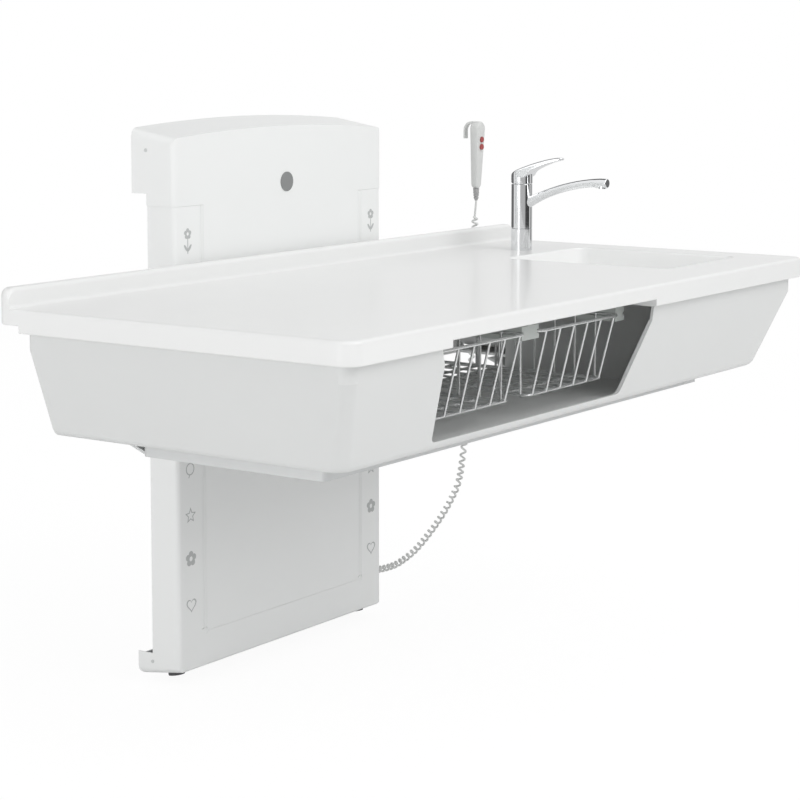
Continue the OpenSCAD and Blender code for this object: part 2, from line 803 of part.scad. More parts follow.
// The bowl's form, drawn out by o, from the height top down.
module bowl_form(o, top) {
    r = bowl_r + o;
    draft = 8;
    hull() {
        corners(bowl_w + 2 * o, bowl_l + 2 * o, r) translate([0, 0, top - 2])
            cylinder(r = r, h = 2, $fn = 32);
        translate([0, 0, -bowl_h - o]) corners(bowl_w + 2 * o - 2 * draft, bowl_l + 2 * o - 2 * draft, r)
            puck(r, 20, 14, 1);
    }
}

bowl_lip = 22;                          // deck moulded with the bowl, round its rim

// The piece of deck round the bowl, h thick.
module bowl_block(h) {
    translate([bowl_x - bowl_w / 2 - bowl_lip, bowl_y - bowl_l / 2 - bowl_lip, -deck_t])
        cube([bowl_w + 2 * bowl_lip, bowl_l + 2 * bowl_lip, h]);
}

module backsplash() {
    y0 = top_d - splash_t;
    r = 8;
    intersection() {
        translate([-top_l / 2, 0, 0]) rotate([90, 0, 90]) linear_extrude(top_l) polygon(rounded([
            [y0, -deck_t, 0], [top_d, -deck_t, 0], [top_d, splash_h, r], [y0, splash_h, r]]));
        translate([0, top_d + 1, 0]) rotate([90, 0, 0]) linear_extrude(splash_t + 2) polygon(rounded([
            [-top_l / 2, -deck_t, 0], [top_l / 2, -deck_t, 0],
            [top_l / 2, splash_h, 18], [-top_l / 2, splash_h, 18]]));
        translate([0, 0, -deck_t - 1]) linear_extrude(splash_h + 2 * deck_t)
            round_rect(-top_l / 2, top_l / 2, y0 - 20, top_d, 8, 10);
    }
}

function screw_spots() = let (x = top_l / 2 - band_in - 15)
    [[-x, 150], [-x, 470], [x, 150], [x, 470], [-x + 90, band_in + 15], [240, band_in + 15],
     [x - 90, band_in + 15]];

module table_top() {
    color("white") at_table() difference() {
        union() {
            difference() {
                hull() {
                    for (x = [-1, 1] * (top_l / 2 - corner_r)) translate([x, corner_r, -rim_h])
                        puck(corner_r, rim_h, 3, edge_r);
                    for (x = [-1, 1] * (top_l / 2 - 14)) translate([x, top_d - 14, -rim_h])
                        puck(14, rim_h, 3, 1);
                }
                translate([0, 0, -rim_h - 1]) linear_extrude(rim_h - deck_t + 1)
                    round_rect(-top_l / 2 + rim_w, top_l / 2 - rim_w, rim_w, top_d - rim_w, 10, 10);
                translate([-top_l, top_d - back_ledge, -rim_h - 1]) cube([2 * top_l, top_d, rear_step + 1]);
                translate([mouth_x - mouth_w / 2, -1, -rim_h - 1]) cube([mouth_w, rim_w + 2, notch_h + 1]);
                for (p = screw_spots()) translate([p[0], p[1], -rim_h - 1])
                    cylinder(d = screw_d + 2 * fit, h = 13, $fn = 24);
            }
            backsplash();
        }
        translate([0, 0, -1]) bowl_block(deck_t + 2);
        translate([tap_x, tap_y, -deck_t - 1]) cylinder(d = 35, h = deck_t + 2, $fn = fine);
    }
}

module wash_bowl() {
    color("white") at_table() difference() {
        union() {
            translate([bowl_x, bowl_y, 0]) bowl_form(bowl_t, -deck_t + 1);
            bowl_block(deck_t);
        }
        translate([bowl_x, bowl_y, 0]) bowl_form(0, 1);
        translate([bowl_x, bowl_y, -bowl_h - 20]) cylinder(d = waste_d, h = 40, $fn = fine);
    }
}

// Apron

foot_in = band_in + taper_in;
mouth_r = [37, 37];                     // how far the opening narrows at its left and right
flange_t = 4;
plate_x = top_l / 2 - 137;              // half length of the safety plate
stud_x = plate_x - 50;
stud_ys = [200, 460];
stud_d = 6;
pipe_z = -60;
drain_z = apron_z + 29;

module apron_form(o) {
    taper = taper_in / (apron_h - band_h);
    x = top_l / 2;
    levels = [[skirt_z - band_h, band_in], [apron_z + 12, foot_in - 12 * taper],
        [apron_z + 6, foot_in - 1], [apron_z + 2, foot_in + 4], [apron_z, foot_in + 11]];
    translate([0, 0, skirt_z - band_h]) linear_extrude(band_h + o)
        round_rect(-x + band_in + o, x - band_in - o, band_in + o, apron_back - o, 20 - o, 8 - o);
    hull() for (l = levels) translate([0, 0, l[0] + o]) linear_extrude(1 + eps)
        round_rect(-x + l[1] + o, x - l[1] - o, l[1] + o, apron_back - o, 20 - o, 8 - o);
}

module well(o) {
    polygon([[-361 + o, well_y - o], [361 - o, well_y - o], [455 - o, well_y + 74 - o],
        [well_x - o, well_y + 100], [well_x - o, apron_back + 20], [-well_x + o, apron_back + 20],
        [-well_x + o, well_y + 100], [-455 + o, well_y + 74 - o]]);
}

module apron_shell() {
    x = top_l / 2;
    sill_z = apron_z + sill_h;
    color("whitesmoke") at_table() difference() {
        union() {
            difference() {
                apron_form(0);
                apron_form(apron_t);
            }
            translate([0, 0, skirt_z - flange_t]) linear_extrude(flange_t) difference() {
                round_rect(-x + band_in + 2, x - band_in - 2, band_in + 2, apron_back - 40, 18, 1);
                round_rect(-x + rim_w, x - rim_w, rim_w, apron_back, 10, 1);
            }
        }
        translate([mouth_x, 100, 0]) rotate([90, 0, 0]) linear_extrude(101) polygon(rounded([
            [-mouth_w / 2, 10, 0], [-mouth_w / 2, skirt_z - 1, 0], [-mouth_w / 2 + mouth_r[0], sill_z, 12],
            [mouth_w / 2 - mouth_r[1], sill_z, 12], [mouth_w / 2, skirt_z - 1, 0], [mouth_w / 2, 10, 0]]));
        translate([0, 0, apron_z - 1]) linear_extrude(10) intersection() {
            well(0);
            translate([-x, 0]) square([2 * x, apron_back - apron_t]);
        }
        each_side() translate([-slot_w / 2, apron_back - 20, arm_top - arm_h - 10])
            cube([slot_w, 40, arm_h + 16]);
        for (p = screw_spots()) translate([p[0], p[1], skirt_z - 10])
            cylinder(d = screw_d + play, h = 20, $fn = 24);
        for (sx = [-1, 1] * stud_x, sy = stud_ys) translate([sx, sy, apron_z - 1])
            cylinder(d = stud_d + 2 * fit, h = 10, $fn = fine);
        for (p = [[tap_x - 10, pipe_z, 8], [tap_x + 10, pipe_z, 8], [bowl_x, drain_z, 22]])
            translate([p[0], apron_back + 5, p[1]]) rotate([90, 0, 0]) cylinder(r = p[2], h = 15, $fn = fine);
    }
}

module apron_screws() {
    color("gray") at_table() for (p = screw_spots()) translate([p[0], p[1], skirt_z - flange_t]) union() {
        translate([0, 0, -2.4]) cylinder(d = 8, h = 2.4, $fn = fine);
        cylinder(d = screw_d, h = 15, $fn = 24);
    }
}

groove_h = rail_d + 2 * play;
groove_in = rail_in + rail_d / 2 + 0.5;
runner_l = beam_y - bay_y - 12;

// A runner of half width w, with a groove in each side.
module runner(w) {
    difference() {
        union() {
            translate([-7, 0, runner_h / 2 - eps]) cube([14, runner_l, neck_h + eps]);
            translate([-w, 0, -runner_h / 2]) cube([2 * w, runner_l, runner_h]);
        }
        for (g = [-w - 1, w - groove_in]) translate([g, -1, -groove_h / 2])
            cube([groove_in + 1, runner_l + 2, groove_h]);
    }
}

module basket_runners() {
    color("darkseagreen") at_table() for (i = [0:2]) translate([runner_xs()[i], bay_y, rail_z])
        runner(i == 1 ? mid_w / 2 : runner_w / 2);
}

// Sheet between the baskets and the bowl

screen_t = 3;
screen_x = bowl_x - bowl_w / 2 - 44;

module bay_screen() {
    color("whitesmoke") at_table() translate([screen_x, 95, apron_z + apron_t])
        cube([screen_t, 315, -deck_t - apron_z - apron_t]);
}

// Waste outlet under the bowl

module basin_waste() {
    z = -bowl_h;
    color("silver") at_table() translate([bowl_x, bowl_y, 0]) union() {
        difference() {
            union() {
                translate([0, 0, z]) cylinder(d = 63, h = 3, $fn = fine);
                translate([0, 0, z - tail_l]) cylinder(d = waste_d - 2, h = tail_l + eps, $fn = fine);
                translate([0, 0, z - bowl_t - 8]) cylinder(d = 62, h = 8, $fn = fine);
            }
            translate([0, 0, z - tail_l - 1]) cylinder(r = 18, h = tail_l + 8, $fn = fine);
        }
        translate([0, 0, z - 16]) difference() {
            union() {
                cylinder(r = 7, h = 6, $fn = fine);
                for (a = [0, 120, 240]) rotate(a) translate([0, -1.5, 0]) cube([19, 3, 6]);
            }
            translate([0, 0, -1]) cylinder(r = 4 + fit, h = 8, $fn = fine);
        }
    }
}

module waste_plug() {
    color("silver") at_table() translate([bowl_x, bowl_y, -bowl_h]) union() {
        translate([0, 0, -22]) cylinder(r = 4, h = 22, $fn = fine);
        rotate_extrude($fn = fine)
            polygon([[0, -3], [16, -3], [17.6, -1], [17.6, 1.5], [15, 3.2], [8, 4.4], [0, 4.8]]);
    }
}

drain_r = 16;
trap_r = 29;
tail_l = 32;                            // tailpiece under the bowl

module waste_trap() {
    top = -bowl_h - tail_l;
    color("gainsboro") at_table() translate([bowl_x, bowl_y, 0]) union() {
        translate([0, 0, drain_z - 19]) cylinder(r = trap_r, h = top - drain_z + 19, $fn = fine);
        translate([0, 20, drain_z]) rotate([-90, 0, 0])
            cylinder(r = drain_r + 1.5, h = pipe_end - end_l - bowl_y - 20, $fn = fine);
        translate([0, 28, drain_z]) rotate([-90, 0, 0]) cylinder(r = 20, h = 20, $fn = fine);
        translate([0, pipe_end - end_l - bowl_y - 4, drain_z]) rotate([-90, 0, 0])
            cylinder(r = drain_r, h = end_l + 4, $fn = fine);
    }
}

// Mixer tap

spigot_r = 14;
stem_r = 8;
pivot_y = 12;
pivot_z = tap_h + 7;
head_z = tap_h - 14;                    // floor of the stem's bore

module at_tap() {
    at_table() translate([tap_x, tap_y, 0]) children();
}

module mixer_foot() {
    color("silver") at_tap() union() {
        cylinder(d = tap_d, h = tap_foot_h, $fn = fine);
        cylinder(r = spigot_r, h = tap_foot_h + 40, $fn = fine);
        translate([0, 0, -deck_t - 28]) cylinder(d = 32, h = deck_t + 28 + eps, $fn = fine);
    }
}

module mixer_nut() {
    color("gray") at_tap() translate([0, 0, -deck_t - 10]) difference() {
        cylinder(d = nut_d, h = 10, $fn = 6);
        translate([0, 0, -1]) cylinder(r = 16 + fit, h = 12, $fn = fine);
    }
}

supply_d = 12;
supply_end_r = 5;                       // bare end that a hose goes on
bend_r = 14;

module supply_pipes() {
    color("peru") at_table() for (x = [-10, 10]) translate([tap_x + x, tap_y, pipe_z]) union() {
        translate([0, 0, bend_r]) cylinder(d = supply_d, h = -deck_t - 28 - pipe_z - bend_r, $fn = 32);
        translate([0, bend_r, bend_r]) rotate([90, 0, 90]) rotate([0, 0, 180])
            rotate_extrude(angle = 90, $fn = 48) translate([bend_r, 0]) circle(d = supply_d, $fn = 32);
        translate([0, bend_r, 0]) rotate([-90, 0, 0])
            cylinder(d = supply_d, h = pipe_end - end_l - tap_y - bend_r, $fn = 32);
        translate([0, pipe_end - end_l - tap_y - 4, 0]) rotate([-90, 0, 0])
            cylinder(r = supply_end_r, h = end_l + 4, $fn = fine);
    }
}

arc_r = 375;
arc_low = 3;                            // slope of the spout at its mouth
arc_turn = asin(spout_l / arc_r + sin(arc_low)) - arc_low;
block_l = 26;
root_drop = 33;                         // spout starts this far below the body's top

module mixer_spout() {
    root = [-20, tap_h - root_drop];
    a0 = arc_low + arc_turn;
    mid = root - arc_r * [sin(a0), cos(a0)];
    tip = mid + arc_r * [sin(arc_low), cos(arc_low)];
    color("silver") at_tap() difference() {
        union() {
            translate([0, 0, tap_foot_h + play])
                cylinder(d = tap_d, h = tap_h - tap_foot_h - play, $fn = fine);
            translate([0, mid[0], mid[1]]) rotate([90, 0, 90]) rotate([0, 0, 90 - a0 - 0.6])
                rotate_extrude(angle = arc_turn + 0.6, $fn = 720) translate([arc_r, 0])
                    circle(d = spout_d, $fn = 32);
            translate([0, tip[0] + 12, tip[1] + 0.2]) rotate([90, 0, 0])
                cylinder(d = spout_d + 1, h = block_l, $fn = fine);
        }
        translate([0, 0, tap_foot_h - 1]) cylinder(r = spigot_r + fit, h = 42, $fn = fine);
        translate([0, 0, head_z]) cylinder(r = stem_r + fit, h = 20, $fn = fine);
        aerator_place() cylinder(r = 7, h = 6, $fn = fine);
    }
}

module aerator_place() {
    reach = -20 - arc_r * sin(arc_low + arc_turn) + arc_r * sin(arc_low);
    under = tap_h - root_drop - arc_r * (cos(arc_low + arc_turn) - cos(arc_low)) - spout_d / 2;
    translate([0, reach - 3, under - 3]) children();
}

module spout_aerator() {
    color("dimgray") at_tap() aerator_place() difference() {
        cylinder(r = 7, h = 6, $fn = fine);
        translate([0, 0, -1]) cylinder(r = 5, h = 2.5, $fn = fine);
    }
}

module lever_stem() {
    color("gray") at_tap() union() {
        translate([0, 0, head_z + play]) cylinder(r = stem_r, h = tap_h - head_z, $fn = fine);
        translate([0, 0, tap_h + play]) cylinder(r = 11, h = 2, $fn = fine);
        translate([-5, pivot_y - 3, tap_h + play]) cube([10, 5.5, 9.2]);
        translate([-15.6, pivot_y, pivot_z]) rotate([0, 90, 0]) cylinder(r = 2, h = 31.2, $fn = fine);
    }
}

lever_reach = 82;

module mixer_lever() {
    z = tap_h;
    color("silver") at_tap() difference() {
        intersection() {
            translate([-25, 0, 0]) rotate([90, 0, 90]) linear_extrude(50) polygon([
                [20.5, z + 0.5], [20.5, z + 13], [19, z + 17.5], [15.5, z + 21.5],
                [10, z + 25], [3, z + 28.4], [-5, z + 31.5], [-20, z + 36.8], [-40, z + 43],
                [-58, z + 48], [-76, z + 51.2], [-84, z + 52], [-89, z + 51.2], [-91, z + 49],
                [-89, z + 46.5], [-58, z + 39], [-35, z + 30], [-24, z + 24], [-20.5, z + 19],
                [-20.5, z + 0.5]]);
            translate([0, 0, z]) linear_extrude(60) hull() {
                circle(r = 20.5, $fn = fine);
                translate([0, -lever_reach]) circle(r = 9, $fn = 32);
            }
        }
        translate([0, 0, z]) cylinder(r = 17, h = 16, $fn = fine);
        translate([-30, pivot_y, pivot_z]) rotate([0, 90, 0]) cylinder(r = 2 + fit, h = 60, $fn = fine);
        translate([-30, pivot_y - 2, z + 0.5]) rotate([15, 0, 0]) translate([0, 0, -10]) cube([60, 20, 10]);
    }
}

// Baskets

basket_y = bay_y - 3 - rail_d / 2;      // middle of the front wire of the top frame
frame_d = 4;                            // wire of the bottom frame
top_hx = bay_w / 2 + rail_in;
low_hx = top_hx - 6;
low_y = [basket_y + 27, basket_y + basket_l - 10];
low_z = rail_z - basket_h;
cross_d = wire_d + 0.4;

module wire_loop(hx, y0, y1, z, r, d) {
    for (x = [-hx, hx]) rod([x, y0 + r, z], [x, y1 - r, z], d);
    for (y = [y0, y1]) rod([-hx + r, y, z], [hx - r, y, z], d);
    for (c = [[hx - r, y1 - r, 0], [-hx + r, y1 - r, 90], [-hx + r, y0 + r, 180], [hx - r, y0 + r, 270]])
        translate([c[0], c[1], z]) rotate(c[2])
            rotate_extrude(angle = 90, $fn = 24) translate([r, 0]) circle(d = d, $fn = 16);
}

module basket(x0) {
    side_x = top_hx - rail_d / 2 - wire_d / 2 + 0.2;
    side_n = 9;
    y0 = basket_y;
    y1 = basket_y + basket_l;
    color("silver") at_table() translate([x0, 0, 0]) union() {
        wire_loop(top_hx, y0, y1, rail_z, 12, rail_d);
        wire_loop(low_hx, low_y[0], low_y[1], low_z, 10, frame_d);
        for (i = [0:front_gaps]) {
            u = 2 * i / front_gaps - 1;
            xt = u * (top_hx - 16);
            xb = u * (low_hx - 12);
            rod([xt, y0, rail_z], [xb, low_y[0], low_z], wire_d);
            rod([xt, y1, rail_z], [xb, low_y[1], low_z], wire_d);
            rod([xb, low_y[0] + 0.5, low_z - 0.2], [xb, low_y[1] - 0.5, low_z - 0.2], wire_d);
        }
        for (i = [0:side_n]) {
            y = low_y[0] + 14 + (low_y[1] - low_y[0] - 28) * i / side_n;
            for (s = [-1, 1]) rod([s * side_x, y, rail_z + 1], [s * low_hx, y, low_z], wire_d);
            rod([-low_hx, y, low_z - 2.2], [low_hx, y, low_z - 2.2], cross_d);
        }
    }
}

module left_basket() { basket(bay_x - (mid_w + bay_w) / 2); }

module right_basket() { basket(bay_x + (mid_w + bay_w) / 2); }

// Safety plate, which stops the lift when something presses it from below

plate_top = apron_z - plate_gap;
plate_y0 = 150;
plate_y1 = 493;
flare_l = 52;                           // run of the plate's sloping back
tray_t = 3;
boss_top = apron_z - 14;
head_r = 6.5;
seat_z = plate_top - plate_h + 6;       // ceiling of the bore that hides a stud's head

module safety_plate() {
    low = plate_top - plate_h;
    color("silver") at_table() difference() {
        union() {
            difference() {
                translate([0, 0, low]) linear_extrude(plate_h) difference() {
                    round_rect(-plate_x, plate_x, plate_y0, plate_y1, 8, 8);
                    well(4);
                }
                translate([0, 0, low + tray_t]) linear_extrude(plate_h) difference() {
                    round_rect(-plate_x + tray_t, plate_x - tray_t, plate_y0 + tray_t, plate_y1 - tray_t, 5, 5);
                    well(-4 - tray_t);
                }
            }
            for (side = [0, 1]) mirror([side, 0, 0]) translate([well_x + 6, 0, 0]) rotate([90, 0, 90])
                linear_extrude(plate_x - well_x - 14) polygon([
                    [plate_y1 - 2, low], [plate_y1, low], [plate_y1 + flare_l, plate_top - 3],
                    [plate_y1 + flare_l, plate_top], [plate_y1 + flare_l - 5, plate_top],
                    [plate_y1 - 2, low + 4]]);
            for (x = [-1, 1] * stud_x, y = stud_ys) translate([x, y, low])
                cylinder(d = 18, h = boss_top - low, $fn = fine);
        }
        for (x = [-1, 1] * stud_x, y = stud_ys) translate([x, y, low - 1]) {
            cylinder(r = 7, h = seat_z - low + 1, $fn = fine);
            cylinder(r = stud_d / 2 + fit, h = plate_h + 20, $fn = fine);
        }
    }
}

module plate_studs() {
    top = apron_z + apron_t + 8;
    color("gray") at_table() for (x = [-1, 1] * stud_x, y = stud_ys) translate([x, y, 0]) union() {
        translate([0, 0, seat_z - play - 3]) cylinder(r = head_r, h = 3, $fn = fine);
        translate([0, 0, seat_z - play - 1]) cylinder(d = stud_d, h = top - seat_z + play + 1, $fn = fine);
    }
}

module stud_nuts() {
    color("gray") at_table() for (x = [-1, 1] * stud_x, y = stud_ys) translate([x, y, apron_z + apron_t])
        difference() {
            cylinder(d = 12, h = 5, $fn = 6);
            translate([0, 0, -1]) cylinder(d = stud_d, h = 7, $fn = fine);
        }
}

module plate_springs() {
    color("darkgray") at_table() for (x = [-1, 1] * stud_x, y = stud_ys)
        translate([x, y, boss_top + play]) ring(7.5, 5, apron_z - boss_top - 2 * play);
}

module safety_switch() {
    color("black") at_table() translate([-plate_x + 92, 188, apron_z - 16]) cube([16, 24, 16]);
}

wall_plate();
cover_brackets();
guide_shafts();
shaft_blocks();
screw_bearings();
lift_motor();
control_box();
lower_cover();
hood_panel();
slot_seals();
cover_screws();
badge_disc();
panel_motifs();
rubber_feet();
cord_gland();
curly_cord();
cord_relief();
handset_front();
handset_back();
switch_board();
up_button();
down_button();
lift_screw();
lift_carriage();
carriage_bushes();
screw_nut();
support_arms();
arm_bolts();
rear_beam();
deck_rails();
table_top();
wash_bowl();
apron_shell();
apron_screws();
basket_runners();
bay_screen();
basin_waste();
waste_plug();
waste_trap();
mixer_foot();
mixer_nut();
supply_pipes();
mixer_spout();
spout_aerator();
lever_stem();
mixer_lever();
left_basket();
right_basket();
safety_plate();
plate_studs();
stud_nuts();
plate_springs();
safety_switch();
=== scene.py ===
"""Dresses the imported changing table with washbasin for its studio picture."""

from __future__ import annotations

import logging
import math
from dataclasses import dataclass, field
from enum import Enum
from typing import Iterable, Sequence

import bmesh
import bpy
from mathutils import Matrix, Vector
from mathutils.geometry import tessellate_polygon

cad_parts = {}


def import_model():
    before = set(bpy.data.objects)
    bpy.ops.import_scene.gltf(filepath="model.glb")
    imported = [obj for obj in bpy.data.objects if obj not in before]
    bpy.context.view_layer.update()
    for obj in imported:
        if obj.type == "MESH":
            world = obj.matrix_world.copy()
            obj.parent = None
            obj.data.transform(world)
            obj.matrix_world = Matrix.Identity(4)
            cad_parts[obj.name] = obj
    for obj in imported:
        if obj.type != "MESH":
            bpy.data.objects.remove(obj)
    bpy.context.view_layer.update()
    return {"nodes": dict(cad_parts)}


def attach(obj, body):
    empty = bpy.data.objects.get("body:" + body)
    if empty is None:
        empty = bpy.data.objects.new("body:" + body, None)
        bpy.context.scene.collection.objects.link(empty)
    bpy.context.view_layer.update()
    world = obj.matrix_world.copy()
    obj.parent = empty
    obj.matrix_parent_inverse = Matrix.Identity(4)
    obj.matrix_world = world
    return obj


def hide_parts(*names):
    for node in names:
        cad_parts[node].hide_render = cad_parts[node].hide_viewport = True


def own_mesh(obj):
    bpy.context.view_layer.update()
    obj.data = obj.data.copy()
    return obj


LOG = logging.getLogger("changing_table")
MM = 0.001
TABLE_FRONT_Y = -757.0
TABLE_TOP_Z = 206.0

Point = tuple[float, float, float]
Colour = tuple[float, float, float]
Stops = tuple[tuple[float, float], ...]


class Socket(Enum):
    """Kinds of socket on a shader group."""

    NUMBER = "NodeSocketFloat"
    COLOUR = "NodeSocketColor"


class Grain(Enum):
    """Surface grains that a finish may show."""

    NONE = 0
    ORANGE_PEEL = 1
    BRUSHED = 2


def mm(x: float, y: float, z: float) -> Vector:
    """Returns a point of the row frame, given in millimetres."""
    return Vector((x, y, z)) * MM


def on_table(x: float, y: float, z: float) -> Vector:
    """Returns a point given from the table top's front edge and surface, in millimetres."""
    return mm(x, y + TABLE_FRONT_Y, z + TABLE_TOP_Z)


def math_node(nodes: bpy.types.Nodes, operation: str) -> bpy.types.Node:
    """Adds a node that works out one operation.

    Args:
        nodes: The nodes that it joins.
        operation: The operation.

    Returns:
        The node.
    """
    made = nodes.new("ShaderNodeMath")
    made.operation = operation
    return made


# Shader groups


@dataclass(frozen=True)
class GroupPort:
    """One named input or output of a shader group."""

    name: str
    kind: Socket = Socket.NUMBER
    default: float = 0.0


class ShaderGroup:
    """A shader node group that is built once and shared by the finishes."""

    title: str = ""
    inputs: tuple[GroupPort, ...] = ()
    outputs: tuple[GroupPort, ...] = ()

    def tree(self) -> bpy.types.NodeTree:
        """Returns the group's node tree, building it on first use.

        Returns:
            The tree.
        """
        found = bpy.data.node_groups.get(self.title)
        if found:
            return found
        tree = bpy.data.node_groups.new(self.title, "ShaderNodeTree")
        for ports, way in ((self.inputs, "INPUT"), (self.outputs, "OUTPUT")):
            for port in ports:
                made = tree.interface.new_socket(
                    name=port.name, in_out=way, socket_type=port.kind.value)
                if way == "INPUT" and port.kind is Socket.NUMBER:
                    made.default_value = port.default
        self.fill(tree, tree.nodes.new("NodeGroupInput"), tree.nodes.new("NodeGroupOutput"))
        return tree

    def fill(self, tree: bpy.types.NodeTree, start: bpy.types.Node,
             end: bpy.types.Node) -> None:
        """Adds the group's own nodes between its start and end."""
        raise NotImplementedError


class ToneDrift(ShaderGroup):
    """Slow drift of tone over a surface, darker where the noise is high."""

    title = "tone_drift"
    inputs = (GroupPort("Colour", Socket.COLOUR), GroupPort("Amount", default=0.03),
              GroupPort("Scale", default=6.0))
    outputs = (GroupPort("Colour", Socket.COLOUR),)

    def fill(self, tree: bpy.types.NodeTree, start: bpy.types.Node,
             end: bpy.types.Node) -> None:
        """Adds noise that darkens the colour by up to Amount.

        Args:
            tree: The group's node tree.
            start: Its input node.
            end: Its output node.
        """
        place = tree.nodes.new("ShaderNodeTexCoord")
        noise = tree.nodes.new("ShaderNodeTexNoise")
        noise.inputs["Detail"].default_value = 4.0
        scaled = math_node(tree.nodes, "MULTIPLY")
        value = math_node(tree.nodes, "SUBTRACT")
        value.inputs[0].default_value = 1.0
        tone = tree.nodes.new("ShaderNodeHueSaturation")
        link = tree.links.new
        link(place.outputs["Object"], noise.inputs["Vector"])
        link(start.outputs["Scale"], noise.inputs["Scale"])
        link(noise.outputs["Fac"], scaled.inputs[0])
        link(start.outputs["Amount"], scaled.inputs[1])
        link(scaled.outputs[0], value.inputs[1])
        link(value.outputs[0], tone.inputs["Value"])
        link(start.outputs["Colour"], tone.inputs["Color"])
        link(tone.outputs["Color"], end.inputs["Colour"])


class FineGrain(ShaderGroup):
    """Fine moulded or sprayed grain, as a height and a roughness."""

    title = "fine_grain"
    inputs = (GroupPort("Scale", default=900.0), GroupPort("Roughness", default=0.4),
              GroupPort("Spread", default=0.05))
    outputs = (GroupPort("Height"), GroupPort("Roughness"))

    def fill(self, tree: bpy.types.NodeTree, start: bpy.types.Node,
             end: bpy.types.Node) -> None:
        """Adds two sizes of noise: one for the height and one for the roughness.

        Args:
            tree: The group's node tree.
            start: Its input node.
            end: Its output node.
        """
        place = tree.nodes.new("ShaderNodeTexCoord")
        fine = tree.nodes.new("ShaderNodeTexNoise")
        fine.inputs["Detail"].default_value = 2.0
        broad = tree.nodes.new("ShaderNodeTexNoise")
        broad.inputs["Scale"].default_value = 14.0
        centred = math_node(tree.nodes, "SUBTRACT")
        centred.inputs[1].default_value = 0.5
        rough = math_node(tree.nodes, "MULTIPLY_ADD")
        link = tree.links.new
        link(place.outputs["Object"], fine.inputs["Vector"])
        link(place.outputs["Object"], broad.inputs["Vector"])
        link(start.outputs["Scale"], fine.inputs["Scale"])
        link(broad.outputs["Fac"], centred.inputs[0])
        link(centred.outputs[0], rough.inputs[0])
        link(start.outputs["Spread"], rough.inputs[1])
        link(start.outputs["Roughness"], rough.inputs[2])
        link(fine.outputs["Fac"], end.inputs["Height"])
        link(rough.outputs[0], end.inputs["Roughness"])


class BrushedGrain(ShaderGroup):
    """Long fine lines along one axis, as a height and a roughness."""

    title = "brushed_grain"
    inputs = (GroupPort("Across", default=500.0), GroupPort("Along", default=8.0),
              GroupPort("Roughness", default=0.3), GroupPort("Spread", default=0.15))
    outputs = (GroupPort("Height"), GroupPort("Roughness"))

    def fill(self, tree: bpy.types.NodeTree, start: bpy.types.Node,
             end: bpy.types.Node) -> None:
        """Adds noise stretched along X.

        Args:
            tree: The group's node tree.
            start: Its input node.
            end: Its output node.
        """
        place = tree.nodes.new("ShaderNodeTexCoord")
        axes = tree.nodes.new("ShaderNodeCombineXYZ")
        stretch = tree.nodes.new("ShaderNodeVectorMath")
        stretch.operation = "MULTIPLY"
        noise = tree.nodes.new("ShaderNodeTexNoise")
        noise.inputs["Scale"].default_value = 1.0
        noise.inputs["Detail"].default_value = 3.0
        rough = math_node(tree.nodes, "MULTIPLY_ADD")
        link = tree.links.new
        link(start.outputs["Along"], axes.inputs["X"])
        link(start.outputs["Across"], axes.inputs["Y"])
        link(start.outputs["Across"], axes.inputs["Z"])
        link(place.outputs["Object"], stretch.inputs[0])
        link(axes.outputs["Vector"], stretch.inputs[1])
        link(stretch.outputs["Vector"], noise.inputs["Vector"])
        link(noise.outputs["Fac"], rough.inputs[0])
        link(start.outputs["Spread"], rough.inputs[1])
        link(start.outputs["Roughness"], rough.inputs[2])
        link(noise.outputs["Fac"], end.inputs["Height"])
        link(rough.outputs[0], end.inputs["Roughness"])


# Finishes


